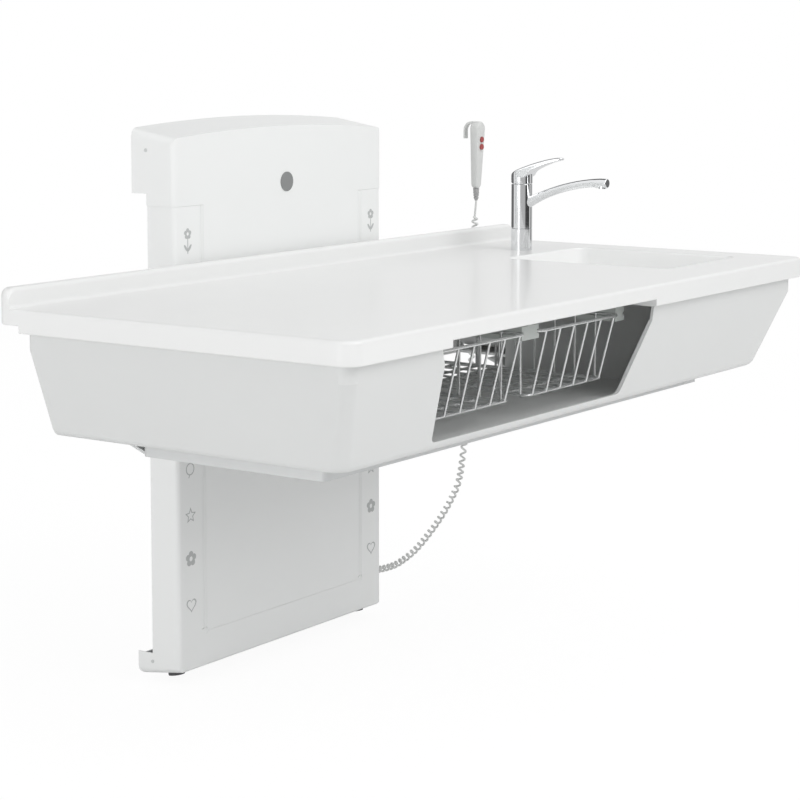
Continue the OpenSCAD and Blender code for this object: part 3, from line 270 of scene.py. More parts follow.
@dataclass(frozen=True)
class Finish:
    """One finish of the object.

    Args:
        name: Name of the Blender material.
        colour: Base colour, linear.
        roughness: Mean roughness.
        grain: Kind of grain.
        grain_scale: Grain cells per metre.
        bump: Height of the grain in metres.
        drift: Share by which the tone drifts.
        metallic: 1 for bare metal.
        coat: Weight of a clear coat.
        spread: Change of the roughness over the surface.
        specular: Specular level.
        coat_roughness: Roughness of the clear coat.
        bump_share: Strength of the grain's relief.
    """

    name: str
    colour: Colour
    roughness: float
    grain: Grain = Grain.ORANGE_PEEL
    grain_scale: float = 900.0
    bump: float = 0.00002
    drift: float = 0.02
    metallic: float = 0.0
    coat: float = 0.0
    spread: float = 0.06
    specular: float = 0.5
    coat_roughness: float = 0.08
    bump_share: float = 0.6

    def material(self) -> bpy.types.Material:
        """Returns the finish's material, building it on first use.

        Returns:
            The material.
        """
        title = "finish_" + self.name
        found = bpy.data.materials.get(title)
        if found:
            return found
        made = bpy.data.materials.new(title)
        made.use_nodes = True
        nodes, link = made.node_tree.nodes, made.node_tree.links.new
        shader = nodes["Principled BSDF"]
        shader.inputs["Metallic"].default_value = self.metallic
        shader.inputs["Coat Weight"].default_value = self.coat
        shader.inputs["Coat Roughness"].default_value = self.coat_roughness
        shader.inputs["Specular IOR Level"].default_value = self.specular
        tone = self._group(nodes, ToneDrift())
        tone.inputs["Colour"].default_value = (*self.colour, 1.0)
        tone.inputs["Amount"].default_value = self.drift
        link(tone.outputs["Colour"], shader.inputs["Base Color"])
        if self.grain is Grain.BRUSHED:
            grain = self._group(nodes, BrushedGrain())
            grain.inputs["Across"].default_value = self.grain_scale
        else:
            grain = self._group(nodes, FineGrain())
            grain.inputs["Scale"].default_value = self.grain_scale
        grain.inputs["Roughness"].default_value = self.roughness
        grain.inputs["Spread"].default_value = self.spread
        link(grain.outputs["Roughness"], shader.inputs["Roughness"])
        if self.grain is not Grain.NONE:
            bump = nodes.new("ShaderNodeBump")
            bump.inputs["Strength"].default_value = self.bump_share
            bump.inputs["Distance"].default_value = self.bump
            link(grain.outputs["Height"], bump.inputs["Height"])
            link(bump.outputs["Normal"], shader.inputs["Normal"])
        return made

    @staticmethod
    def _group(nodes: bpy.types.Nodes, group: ShaderGroup) -> bpy.types.Node:
        """Places a shared group among a material's nodes.

        Args:
            nodes: The material's nodes.
            group: The group.

        Returns:
            The group's node.
        """
        node = nodes.new("ShaderNodeGroup")
        node.node_tree = group.tree()
        return node


GEL_COAT = Finish("gel_coat_white", (0.85, 0.855, 0.85), 0.32, grain_scale=400.0, bump=0.000006,
                  drift=0.01, coat=0.15, spread=0.05)
# Whiter copy of the same gel coat: painted light that brightens the inside of the bowl.
BOWL_PAINTED_LIGHT = Finish("painted_light_bowl_coat", (0.95, 0.955, 0.95), 0.32, grain_scale=400.0, bump=0.000006,
                   drift=0.01, coat=0.15, spread=0.05)
POWDER_COAT = Finish("powder_coat_white", (0.88, 0.89, 0.885), 0.42, grain_scale=700.0,
                     bump=0.00003, drift=0.015)
SHELL_PLASTIC = Finish("shell_plastic", (0.72, 0.73, 0.725), 0.4, grain_scale=500.0,
                       bump=0.00003, drift=0.02, coat=0.08)
CHROME = Finish("chrome", (0.82, 0.83, 0.84), 0.07, Grain.NONE, drift=0.01, metallic=1.0,
                spread=0.03)
WIRE = Finish("plated_wire", (0.74, 0.75, 0.75), 0.25, Grain.NONE, drift=0.05, metallic=0.85,
              spread=0.1)
ZINC = Finish("zinc_plate", (0.62, 0.63, 0.64), 0.4, Grain.BRUSHED, 400.0, drift=0.08,
              metallic=1.0)
SHAFT = Finish("ground_shaft", (0.6, 0.61, 0.62), 0.2, Grain.NONE, drift=0.03, metallic=1.0)
DARK_STEEL = Finish("grey_powder_coat", (0.22, 0.235, 0.25), 0.5, drift=0.06)
BLOCK = Finish("dark_block", (0.05, 0.05, 0.053), 0.55)
BOX_GREY = Finish("control_housing", (0.32, 0.33, 0.33), 0.5)
BRONZE = Finish("bearing_bronze", (0.55, 0.36, 0.16), 0.3, Grain.BRUSHED, 500.0, metallic=1.0)
SEAL = Finish("slot_lip", (0.87, 0.88, 0.875), 0.6, grain_scale=900.0, drift=0.02)
SCREW = Finish("plated_screw", (0.5, 0.5, 0.5), 0.32, drift=0.05, metallic=1.0)
CAP_SCREW = Finish("painted_screw", (0.62, 0.63, 0.63), 0.4, drift=0.04)
BADGE = Finish("badge_grey", (0.26, 0.267, 0.267), 0.6, drift=0.03, specular=0.3)
PRINT = Finish("printed_grey", (0.5, 0.51, 0.51), 0.5, drift=0.05)
FOOT = Finish("foot_rubber", (0.08, 0.08, 0.085), 0.7, grain_scale=1500.0)
CORD = Finish("cord_jacket", (0.72, 0.73, 0.72), 0.45, grain_scale=1500.0, bump=0.00001)
RELIEF = Finish("relief_rubber", (0.42, 0.42, 0.42), 0.6)
HANDSET = Finish("handset_plastic", (0.7, 0.71, 0.7), 0.38, grain_scale=1200.0)
BOARD = Finish("circuit_board", (0.02, 0.16, 0.06), 0.4)
KEY = Finish("red_key", (0.42, 0.08, 0.08), 0.4, drift=0.05)
COPPER = Finish("copper_pipe", (0.75, 0.38, 0.25), 0.3, Grain.BRUSHED, 300.0, drift=0.15,
                metallic=1.0)
RUNNER = Finish("runner_plastic", (0.52, 0.55, 0.53), 0.45)
FRAME_STEEL = Finish("light_frame_coat", (0.58, 0.59, 0.59), 0.45, drift=0.04)
PLATE = Finish("anodised_plate", (0.66, 0.67, 0.67), 0.42, drift=0.03, metallic=0.25)
DRAIN = Finish("drain_plastic", (0.7, 0.71, 0.71), 0.4)
SPRING = Finish("spring_steel", (0.4, 0.41, 0.42), 0.35, metallic=1.0)
SWITCH = Finish("switch_black", (0.015, 0.015, 0.017), 0.5)

NODE_FINISH: dict[str, Finish] = {
    "wall_plate": ZINC, "cover_brackets": ZINC, "guide_shafts": SHAFT, "shaft_blocks": BLOCK,
    "screw_bearings": BLOCK, "lift_motor": DARK_STEEL, "control_box": BOX_GREY,
    "lower_cover": POWDER_COAT, "hood_panel": POWDER_COAT, "slot_seals": SEAL,
    "cover_screws": CAP_SCREW, "badge_disc": BADGE, "panel_motifs": PRINT, "rubber_feet": FOOT,
    "cord_gland": HANDSET, "cord_relief": RELIEF, "curly_cord": CORD,
    "handset_front": HANDSET, "handset_back": HANDSET, "switch_board": BOARD,
    "up_button": KEY, "down_button": KEY, "lift_screw": SHAFT, "lift_carriage": DARK_STEEL,
    "carriage_bushes": BRONZE, "screw_nut": BRONZE, "support_arms": DARK_STEEL,
    "arm_bolts": SCREW, "rear_beam": FRAME_STEEL, "deck_rails": FRAME_STEEL,
    "table_top": GEL_COAT, "wash_bowl": GEL_COAT, "apron_shell": SHELL_PLASTIC,
    "apron_screws": SCREW, "basket_runners": RUNNER, "bay_screen": SHELL_PLASTIC,
    "basin_waste": CHROME, "waste_plug": CHROME,
    "waste_trap": DRAIN, "mixer_foot": CHROME, "mixer_nut": SCREW, "supply_pipes": COPPER,
    "mixer_spout": CHROME, "spout_aerator": CHROME, "lever_stem": SCREW,
    "mixer_lever": CHROME, "left_basket": WIRE, "right_basket": WIRE, "safety_plate": PLATE,
    "plate_studs": SCREW, "stud_nuts": SCREW, "plate_springs": SPRING,
    "safety_switch": SWITCH,
}


# Mesh helpers


def rounded_outline(x0: float, x1: float, y0: float, y1: float, front: float, back: float,
                    steps: int = 8) -> list[tuple[float, float]]:
    """Returns a rounded rectangle's outline, anticlockwise from its front left corner.

    Args:
        x0: Left side.
        x1: Right side.
        y0: Front side.
        y1: Back side.
        front: Radius of the two front corners.
        back: Radius of the two back corners.
        steps: Steps per corner.

    Returns:
        The outline's points.
    """
    corners = ((x0 + front, y0 + front, front, 180), (x1 - front, y0 + front, front, 270),
               (x1 - back, y1 - back, back, 0), (x0 + back, y1 - back, back, 90))
    points = []
    for cx, cy, radius, start in corners:
        for i in range(steps + 1):
            a = math.radians(start + 90 * i / steps)
            points.append((cx + radius * math.cos(a), cy + radius * math.sin(a)))
    return points


def new_object(name: str, mesh: bpy.types.Mesh, finish: Finish, body: str) -> bpy.types.Object:
    """Links a new piece, gives it its finish and lets it ride on a body.

    Args:
        name: Name of the piece.
        mesh: Its mesh, in the row frame.
        finish: Its finish.
        body: The body that it rides on.

    Returns:
        The new object.
    """
    piece = bpy.data.objects.new(name, mesh)
    bpy.context.scene.collection.objects.link(piece)
    mesh.materials.append(finish.material())
    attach(piece, body)
    return piece


def smooth(piece: bpy.types.Object, degrees: float = 35.0) -> None:
    """Shades a piece smooth, apart from edges sharper than an angle.

    Args:
        piece: The piece.
        degrees: The angle.
    """
    piece.data.shade_smooth()
    split = piece.modifiers.new("sharp_edges", "EDGE_SPLIT")
    split.split_angle = math.radians(degrees)
    piece.modifiers.new("even_faces", "WEIGHTED_NORMAL")


class Loft:
    """A closed mesh made of rings that are joined one after another."""

    weld_gap: float = 0.000002
    least_edge: float = 0.000001

    def __init__(self, name: str) -> None:
        """Starts an empty loft.

        Args:
            name: Name of the mesh that it makes.
        """
        self.name = name
        self.verts: list[Vector] = []
        self.faces: list[tuple[int, ...]] = []

    def ring(self, points: Iterable[Vector]) -> list[int]:
        """Adds a ring of points and returns their numbers.

        Args:
            points: The points.

        Returns:
            Their numbers.
        """
        start = len(self.verts)
        self.verts.extend(points)
        return list(range(start, len(self.verts)))

    def skin(self, a: Sequence[int], b: Sequence[int], closed: bool = True) -> None:
        """Joins two rings of equal length with four-sided faces.

        Args:
            a: The first ring's points.
            b: The second ring's points.
            closed: Whether the last point joins the first.
        """
        count = len(a)
        for i in range(count if closed else count - 1):
            j = (i + 1) % count
            self.faces.append((a[i], a[j], b[j], b[i]))

    def stack(self, rings: Sequence[Sequence[int]], closed: bool = True) -> None:
        """Joins each ring to the next."""
        for a, b in zip(rings, rings[1:]):
            self.skin(a, b, closed)

    def cap(self, *rings: Sequence[int], flip: bool = False) -> None:
        """Fills the flat face between an outer ring and the rings inside it.

        Args:
            rings: The outer ring, then the rings inside it.
            flip: Whether the face looks the other way.
        """
        flat = [i for ring in rings for i in ring]
        for tri in tessellate_polygon([[self.verts[i] for i in ring] for ring in rings]):
            face = [flat[i] for i in tri]
            self.faces.append(tuple(reversed(face)) if flip else tuple(face))

    def mesh(self) -> bpy.types.Mesh:
        """Returns the finished mesh with its faces turned outward.

        Returns:
            The mesh.
        """
        made = bpy.data.meshes.new(self.name)
        made.from_pydata([tuple(v) for v in self.verts], [], self.faces)
        work = bmesh.new()
        work.from_mesh(made)
        bmesh.ops.remove_doubles(work, verts=work.verts, dist=self.weld_gap)
        bmesh.ops.dissolve_degenerate(work, dist=self.least_edge, edges=work.edges)
        bmesh.ops.recalc_face_normals(work, faces=work.faces)
        work.to_mesh(made)
        work.free()
        return made


def quarter(radius: float, steps: int = 6) -> list[tuple[float, float]]:
    """Returns (inset, drop) pairs of a rounded edge, from the side face to the top face.

    Args:
        radius: The edge's radius.
        steps: Number of its steps.

    Returns:
        The pairs.
    """
    return [(radius * (1 - math.cos(math.pi / 2 * i / steps)),
             radius * (1 - math.sin(math.pi / 2 * i / steps))) for i in range(steps + 1)]


# Studio


@dataclass(frozen=True)
class SoftBox:
    """One square area light that looks at a point.

    Args:
        name: Name of the lamp.
        place: Its place.
        aim: The point that it looks at.
        size: Length of its side.
        power: Power in watts.
        in_metal: Whether polished pieces mirror it.
    """

    name: str
    place: Point
    aim: Point
    size: float
    power: float
    in_metal: bool = True

    def hang(self) -> None:
        """Makes the lamp."""
        data = bpy.data.lights.new(self.name, "AREA")
        data.size = self.size
        data.energy = self.power
        lamp = bpy.data.objects.new(self.name, data)
        lamp.location = self.place
        way = Vector(self.aim) - Vector(self.place)
        lamp.rotation_mode = "QUATERNION"
        lamp.rotation_quaternion = way.to_track_quat("-Z", "Y")
        lamp.visible_glossy = self.in_metal
        bpy.context.scene.collection.objects.link(lamp)


@dataclass
class Studio:
    """Camera, lights, floor and world of the picture.

    Args:
        camera_place: Place of the camera.
        heading: Compass heading of the camera, in degrees.
        tilt: How far the camera looks down, in degrees.
        lens: Focal length in millimetres.
        sensor: Width of the picture on the sensor, in millimetres.
        shift: Vertical shift, as a share of the width.
        far: Distance beyond which the camera sees nothing.
        floor_z: Height of the floor.
        floor_reach: Distance of the floor's sides from the middle.
        floor_grey: Colour of the floor.
        floor_roughness: Roughness of the floor.
        floor_specular: Specular level of the floor.
        floor_glow: Strength of the floor's own white, to the camera.
        glow_share: Share of that white in what the camera sees.
        world_strength: Strength of the even world light.
        low_z: Rise of a mirrored direction up to which it shows the low greys.
        high_z: Rise from which it shows the high greys.
        bands: Stops of the greys that metal mirrors low down.
        upper: Stops of the greys that metal mirrors higher up.
        lamps: The soft boxes.
    """

    camera_place: Point = (-3.0438, -2.4674, 0.6039)
    heading: float = 55.043
    tilt: float = 6.212
    lens: float = 99.5
    sensor: float = 36.0
    shift: float = -0.15
    far: float = 60.0
    floor_z: float = -0.4795
    floor_reach: float = 4.0
    floor_grey: float = 0.92
    floor_roughness: float = 0.9
    floor_specular: float = 0.1
    floor_glow: float = 1.03
    glow_share: float = 0.9
    world_strength: float = 0.655
    low_z: float = 0.3
    high_z: float = 0.55
    bands: Stops = (
        (0.0, 0.92), (0.03, 0.85), (0.06, 0.5), (0.17, 0.5), (0.22, 0.06), (0.335, 0.06),
        (0.355, 0.8), (0.385, 0.8), (0.4, 0.14), (0.42, 0.16), (0.45, 0.5), (0.55, 0.85),
        (0.61, 0.9), (0.65, 0.55), (0.69, 0.16), (0.79, 0.16), (0.85, 0.92), (1.0, 0.92))
    upper: Stops = (
        (0.0, 1.0), (0.57, 1.0), (0.61, 0.08), (0.7, 0.08), (0.74, 1.0), (1.0, 1.0))
    lamps: tuple[SoftBox, ...] = (
        SoftBox("key", (0.0, -6.0, 4.3), (0, -0.4, 0.0), 4.6, 168),
        SoftBox("top", (0.3, -0.8, 3.2), (0, -0.4, 0.1), 2.4, 6),
        SoftBox("side", (-4.6, 0.5, 0.3), (0, -0.4, 0.0), 3.0, 50),
        SoftBox("front", (-0.6, -5.0, 0.2), (0, -0.4, -0.1), 3.0, 9, in_metal=False))

    def build(self) -> None:
        """Makes the whole studio."""
        bpy.context.scene.view_settings.view_transform = "Standard"
        self._camera()
        self._world()
        for lamp in self.lamps:
            lamp.hang()
        self._floor()

    def _camera(self) -> None:
        """Places the camera, which looks down a little and has a little vertical shift."""
        data = bpy.data.cameras.new("camera")
        data.lens = self.lens
        data.sensor_width = self.sensor
        data.shift_y = self.shift
        data.clip_end = self.far
        camera = bpy.data.objects.new("camera", data)
        camera.location = self.camera_place
        camera.rotation_euler = (math.radians(90 - self.tilt), 0,
                                 math.radians(-self.heading))
        bpy.context.scene.collection.objects.link(camera)
        bpy.context.scene.camera = camera

    def _world(self) -> None:
        """Makes an even pale world, white to the camera and softly banded in metal."""
        world = bpy.data.worlds.new("studio")
        bpy.context.scene.world = world
        world.use_nodes = True
        nodes, link = world.node_tree.nodes, world.node_tree.links.new
        light = nodes["Background"]
        light.inputs["Color"].default_value = (1, 1, 1, 1)
        light.inputs["Strength"].default_value = self.world_strength
        banded = nodes.new("ShaderNodeBackground")
        banded.inputs["Strength"].default_value = 1.0
        link(self._bands(world.node_tree), banded.inputs["Color"])
        white = nodes.new("ShaderNodeBackground")
        white.inputs["Strength"].default_value = 1.0
        white.inputs["Color"].default_value = (1, 1, 1, 1)
        path = nodes.new("ShaderNodeLightPath")
        metal = nodes.new("ShaderNodeMixShader")
        seen = nodes.new("ShaderNodeMixShader")
        straight = math_node(nodes, "MAXIMUM")
        link(path.outputs["Is Camera Ray"], straight.inputs[0])
        link(path.outputs["Is Transmission Ray"], straight.inputs[1])
        link(path.outputs["Is Glossy Ray"], metal.inputs["Fac"])
        link(light.outputs["Background"], metal.inputs[1])
        link(banded.outputs["Background"], metal.inputs[2])
        link(straight.outputs[0], seen.inputs["Fac"])
        link(metal.outputs["Shader"], seen.inputs[1])
        link(white.outputs["Background"], seen.inputs[2])
        link(seen.outputs["Shader"], nodes["World Output"].inputs["Surface"])

    def _bands(self, tree: bpy.types.NodeTree) -> bpy.types.NodeSocket:
        """Returns a grey that changes with the compass direction, low down and overhead.

        Args:
            tree: The world's node tree.

        Returns:
            The colour socket.
        """
        nodes, link = tree.nodes, tree.links.new
        place = nodes.new("ShaderNodeTexCoord")
        axes = nodes.new("ShaderNodeSeparateXYZ")
        turn = math_node(nodes, "ARCTAN2")
        # The angle, from -pi to pi, becomes a share from 0 to 1.
        share = math_node(nodes, "MULTIPLY_ADD")
        share.inputs[1].default_value = 0.5 / math.pi
        share.inputs[2].default_value = 0.5
        low, high = self._ramp(nodes, self.bands), self._ramp(nodes, self.upper)
        height = nodes.new("ShaderNodeMapRange")
        height.inputs["From Min"].default_value = self.low_z
        height.inputs["From Max"].default_value = self.high_z
        lit = nodes.new("ShaderNodeMix")
        lit.data_type = "RGBA"
        link(place.outputs["Generated"], axes.inputs["Vector"])
        link(axes.outputs["Y"], turn.inputs[0])
        link(axes.outputs["X"], turn.inputs[1])
        link(turn.outputs[0], share.inputs[0])
        link(share.outputs[0], low.inputs["Fac"])
        link(share.outputs[0], high.inputs["Fac"])
        link(axes.outputs["Z"], height.inputs["Value"])
        link(height.outputs["Result"], lit.inputs["Factor"])
        link(low.outputs["Color"], lit.inputs["A"])
        link(high.outputs["Color"], lit.inputs["B"])
        return lit.outputs["Result"]

    @staticmethod
    def _ramp(nodes: bpy.types.Nodes, greys: Stops) -> bpy.types.Node:
        """Returns a ramp with a grey at each of its stops.

        Args:
            nodes: The nodes that it joins.
            greys: Pairs of place and grey.

        Returns:
            The ramp's node.
        """
        ramp = nodes.new("ShaderNodeValToRGB")
        ramp.color_ramp.interpolation = "EASE"
        stops = ramp.color_ramp.elements
        while len(stops) < len(greys):
            stops.new(0.5)
        for stop, (position, grey) in zip(stops, greys):
            stop.position = position
            stop.color = (grey, grey, grey, 1)
        return ramp

    def _floor(self) -> None:
        """Lays a plain pale floor that keeps the object's soft shadow."""
        mesh = bpy.data.meshes.new("studio_floor")
        reach = self.floor_reach
        mesh.from_pydata([(x, y, self.floor_z) for x, y in (
            (-reach, -reach), (reach, -reach), (reach, reach), (-reach, reach))],
            [], [(0, 1, 2, 3)])
        floor = bpy.data.objects.new("studio_floor", mesh)
        bpy.context.scene.collection.objects.link(floor)
        made = bpy.data.materials.new("studio_floor")
        made.use_nodes = True
        nodes, link = made.node_tree.nodes, made.node_tree.links.new
        shader = nodes["Principled BSDF"]
        shader.inputs["Base Color"].default_value = (*[self.floor_grey] * 3, 1)
        shader.inputs["Roughness"].default_value = self.floor_roughness
        shader.inputs["Specular IOR Level"].default_value = self.floor_specular
        glow = nodes.new("ShaderNodeEmission")
        glow.inputs["Strength"].default_value = self.floor_glow
        path = nodes.new("ShaderNodeLightPath")
        straight = math_node(nodes, "MAXIMUM")
        share = math_node(nodes, "MULTIPLY")
        share.inputs[1].default_value = self.glow_share
        mix = nodes.new("ShaderNodeMixShader")
        link(path.outputs["Is Camera Ray"], straight.inputs[0])
        link(path.outputs["Is Transmission Ray"], straight.inputs[1])
        link(straight.outputs[0], share.inputs[0])
        link(share.outputs[0], mix.inputs["Fac"])
        link(shader.outputs["BSDF"], mix.inputs[1])
        link(glow.outputs["Emission"], mix.inputs[2])
        link(mix.outputs["Shader"], nodes["Material Output"].inputs["Surface"])
        mesh.materials.append(made)


# Curly cord


@dataclass
class CurlyCord:
    """The handset's coiled cord, on the same route as its solid."""

    curls: int = 64
    steps: int = 20
    cord_d: float = 4.2
    curl_d: float = 14.0
    start: Point = (672.0, -56.0, 283.0)
    end: Point = (304.5, -57.0, -404.0)
    route: list[Point] = field(default_factory=lambda: [
        (672, -53, 252), (671, -54, 190), (664, -56, 60), (650, -57, -90),
        (629, -57, -209), (611, -57, -277), (582, -57, -312), (546, -57, -341),
        (504, -57, -367), (452, -57, -392), (401, -57, -405), (368, -57, -407),
        (340, -57, -405.5), (318, -57, -404)])

    def _along(self, s: float, stops: list[float]) -> Vector:
        """Returns the route's point at a length of its chords.

        Args:
            s: The length.
            stops: Lengths at which the route's own points lie.

        Returns:
            The point, in millimetres.
        """
        last = len(self.route) - 1
        k = min(last - 1, max(i for i, stop in enumerate(stops) if stop <= s or i == 0))
        t = (s - stops[k]) / (stops[k + 1] - stops[k])
        a, b, c, d = (Vector(self.route[max(0, min(last, k + i))]) for i in (-1, 0, 1, 2))
        return 0.5 * (2 * b + (c - a) * t + (2 * a - 5 * b + 4 * c - d) * t * t
                      + (3 * b - a - 3 * c + d) * t ** 3)

    def line(self) -> list[Vector]:
        """Returns the cord's centre line in metres.

        Returns:
            The line's points.
        """
        stops = [0.0]
        for a, b in zip(self.route, self.route[1:]):
            stops.append(stops[-1] + (Vector(b) - Vector(a)).length)
        whole, count = stops[-1], self.curls * self.steps
        reach = (self.curl_d - self.cord_d) / 2
        points = [Vector(self.start), Vector(self.start) - Vector((0, 0, self.cord_d))]
        for i in range(count + 1):
            s = whole * i / count
            way = (self._along(min(whole, s + 2), stops)
                   - self._along(max(0.0, s - 2), stops)).normalized()
            normal = way.cross(Vector((0, 1, 0))).normalized()
            side = normal.cross(way)
            x = min(1.0, min(i, count - i) / self.steps)
            swell = x * x * (3 - 2 * x)
            turn = 2 * math.pi * i / self.steps
            points.append(self._along(s, stops)
                          + reach * swell * (math.cos(turn) * normal + math.sin(turn) * side))
        end = Vector(self.end)
        points += [end + Vector((self.cord_d, 0, 0)), end]
        return [p * MM for p in points]

    def build(self) -> None:
        """Makes the cord."""
        points = self.line()
        curve = bpy.data.curves.new("curly_cord_lead", "CURVE")
        curve.dimensions = "3D"
        curve.bevel_depth = self.cord_d / 2 * MM
        curve.bevel_resolution = 3
        curve.use_fill_caps = True
        spline = curve.splines.new("POLY")
        spline.points.add(len(points) - 1)
        for made, point in zip(spline.points, points):
            made.co = (*point, 1.0)
        spline.use_smooth = True
        curve.materials.append(CORD.material())
        cord = bpy.data.objects.new("curly_cord_lead", curve)
        bpy.context.scene.collection.objects.link(cord)
        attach(cord, "column")
        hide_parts("curly_cord")


# Table top


@dataclass
class TableTop:
    """The moulded table top: slab, rim, backsplash with its cove, and bowl."""

    length: float = 1414.0
    depth: float = 655.0
    rim_h: float = 36.0
    rim_w: float = 42.0
    deck_t: float = 12.0
    front_r: float = 28.0
    back_r: float = 14.0
    edge_r: float = 6.0
    foot_r: float = 3.0
    mouth: tuple[float, float] = (-466.0, 134.0)
    notch: float = 11.0
    step_y: float = 614.0
    bowl: tuple[float, float, float, float] = (367.0, 633.0, 105.0, 437.0)
    bowl_h: float = 118.0
    bowl_t: float = 7.0
    bowl_r: float = 20.0
    lip_r: float = 4.0
    draft: float = 8.0
    floor_r: float = 15.0
    waste_r: float = 23.0
    splash_t: float = 22.0
    splash_h: float = 31.0
    splash_r: float = 8.0
    end_r: float = 18.0
    cove_r: float = 7.0
    corner_steps: int = 10
    crease: float = 40.0

    def build(self) -> None:
        """Makes the slab with its bowl, and the backsplash."""
        slab = new_object("table_slab", self._slab(), GEL_COAT, "table")
        self._paint_bowl_light(slab.data)
        smooth(slab, self.crease)
        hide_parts("table_top", "wash_bowl")
        splash = new_object("backsplash", self._splash(), GEL_COAT, "table")
        smooth(splash, self.crease)

    def _paint_bowl_light(self, mesh: bpy.types.Mesh) -> None:
        """Gives the faces inside the bowl a whiter copy of the gel coat, as painted light that
        brightens the bowl's inside.

        Args:
            mesh: The slab's mesh.
        """
        mesh.materials.append(BOWL_PAINTED_LIGHT.material())
        x0, x1, y0, y1 = self.bowl
        low, high = on_table(x0 - 1, y0 - 1, -self.bowl_h - 1), on_table(x1 + 1, y1 + 1, -1.5)
        for face in mesh.polygons:
            c = face.center
            if all(low[i] < c[i] < high[i] for i in range(3)):
                face.material_index = 1

    def _underside(self, x: float, y: float) -> float:
        """Returns the height of the rim's underside at a point.

        Args:
            x: Place along the length.
            y: Place from the front edge.

        Returns:
            The height, in millimetres.
        """
        if y >= self.step_y - 1.5:
            return -self.rim_h + self.notch
        if y < self.rim_w + 1 and self.mouth[0] <= x <= self.mouth[1]:
            return -self.rim_h + self.notch
        return -self.rim_h

    def _outer(self, inset: float, z: float | None, rise: float = 0.0) -> list[Vector]:
        """Returns a ring of the slab's outline, with stops at the notch and the step.

        Args:
            inset: Distance inside the outline.
            z: Height, or None to follow the rim's underside.
            rise: Height above the underside where z is None.

        Returns:
            The ring's points.
        """
        half = self.length / 2
        flat = rounded_outline(-half + inset, half - inset, inset, self.depth - inset,
                               self.front_r - inset, self.back_r - inset, self.corner_steps)
        return self._with_stops(flat, z, rise)

    def _with_stops(self, flat: list[tuple[float, float]], z: float | None,
                    rise: float) -> list[Vector]:
        """Adds the points beside the notch and the rear step to an outline.

        Args:
            flat: The outline's points.
            z: Height, or None to follow the rim's underside.
            rise: Height above the underside where z is None.

        Returns:
            The ring's points.
        """
        marks_x = self._notch_marks()
        marks_y = [self.step_y - 1.6, self.step_y - 1.5]
        points: list[tuple[float, float]] = []
        for i, a in enumerate(flat):
            b = flat[(i + 1) % len(flat)]
            points.append(a)
            if abs(a[1] - b[1]) < 1e-6 and b[0] - a[0] > 100:
                points += [(x, a[1]) for x in marks_x]
            if abs(a[0] - b[0]) < 1e-6 and abs(b[1] - a[1]) > 100:
                ordered = marks_y if b[1] > a[1] else marks_y[::-1]
                points += [(a[0], y) for y in ordered]
        return [on_table(x, y, self._underside(x, y) + rise if z is None else z)
                for x, y in points]

    def _notch_marks(self) -> list[float]:
        """Returns the places of two points at each end of the notch."""
        return [self.mouth[0] - 0.1, self.mouth[0], self.mouth[1], self.mouth[1] + 0.1]

    def _inner(self, z: float | None) -> list[Vector]:
        """Returns a ring of the pocket inside the rim.

        Args:
            z: Height, or None to follow the rim's underside.

        Returns:
            The ring's points.
        """
        half = self.length / 2 - self.rim_w
        flat = rounded_outline(-half, half, self.rim_w, self.depth - self.rim_w, 10, 10, 10)
        marks_x = self._notch_marks()
        back = self.depth - self.rim_w
        points: list[tuple[float, float, float]] = []
        for i, a in enumerate(flat):
            b = flat[(i + 1) % len(flat)]
            points.append((*a, self._underside(*a)))
            if abs(a[1] - b[1]) < 1e-6 and b[0] - a[0] > 100:
                points += [(x, a[1], self._underside(x, a[1])) for x in marks_x]
            if abs(a[0] - b[0]) < 1e-6 and abs(b[1] - a[1]) > 100:
                ordered = (back - 10.2, back - 10.1) if b[1] > a[1] else (back - 10.1, back - 10.2)
                points += [(a[0], y, self._underside(a[0], y)) for y in ordered]
        return [on_table(x, y, (-self.rim_h + self.notch if y > back - 10.15 else low)
                         if z is None else z) for x, y, low in points]

    def _bowl_ring(self, inset: float, z: float, radius: float) -> list[Vector]:
        """Returns a ring of the bowl, drawn in from its rim.

        Args:
            inset: Distance inside the rim.
            z: Height.
            radius: Radius of its corners.

        Returns:
            The ring's points.
        """
        x0, x1, y0, y1 = self.bowl
        return [on_table(x, y, z) for x, y in rounded_outline(
            x0 + inset, x1 - inset, y0 + inset, y1 - inset, radius, radius,
            self.corner_steps)]

    def _round_ring(self, radius: float, z: float, like: Sequence[Vector]) -> list[Vector]:
        """Returns a circle round the waste outlet with points in line with another ring.

        Args:
            radius: The circle's radius.
            z: Its height.
            like: The other ring's points.

        Returns:
            The circle's points.
        """
        x0, x1, y0, y1 = self.bowl
        centre = on_table((x0 + x1) / 2, (y0 + y1) / 2, z)
        points = []
        for p in like:
            way = Vector((p.x - centre.x, p.y - centre.y, 0)).normalized()
            points.append(centre + way * radius * MM)
        return points

    def _wall(self, z: float) -> float:
        """Returns how far the bowl's wall leans in at a height."""
        return self.draft * -z / self.bowl_h

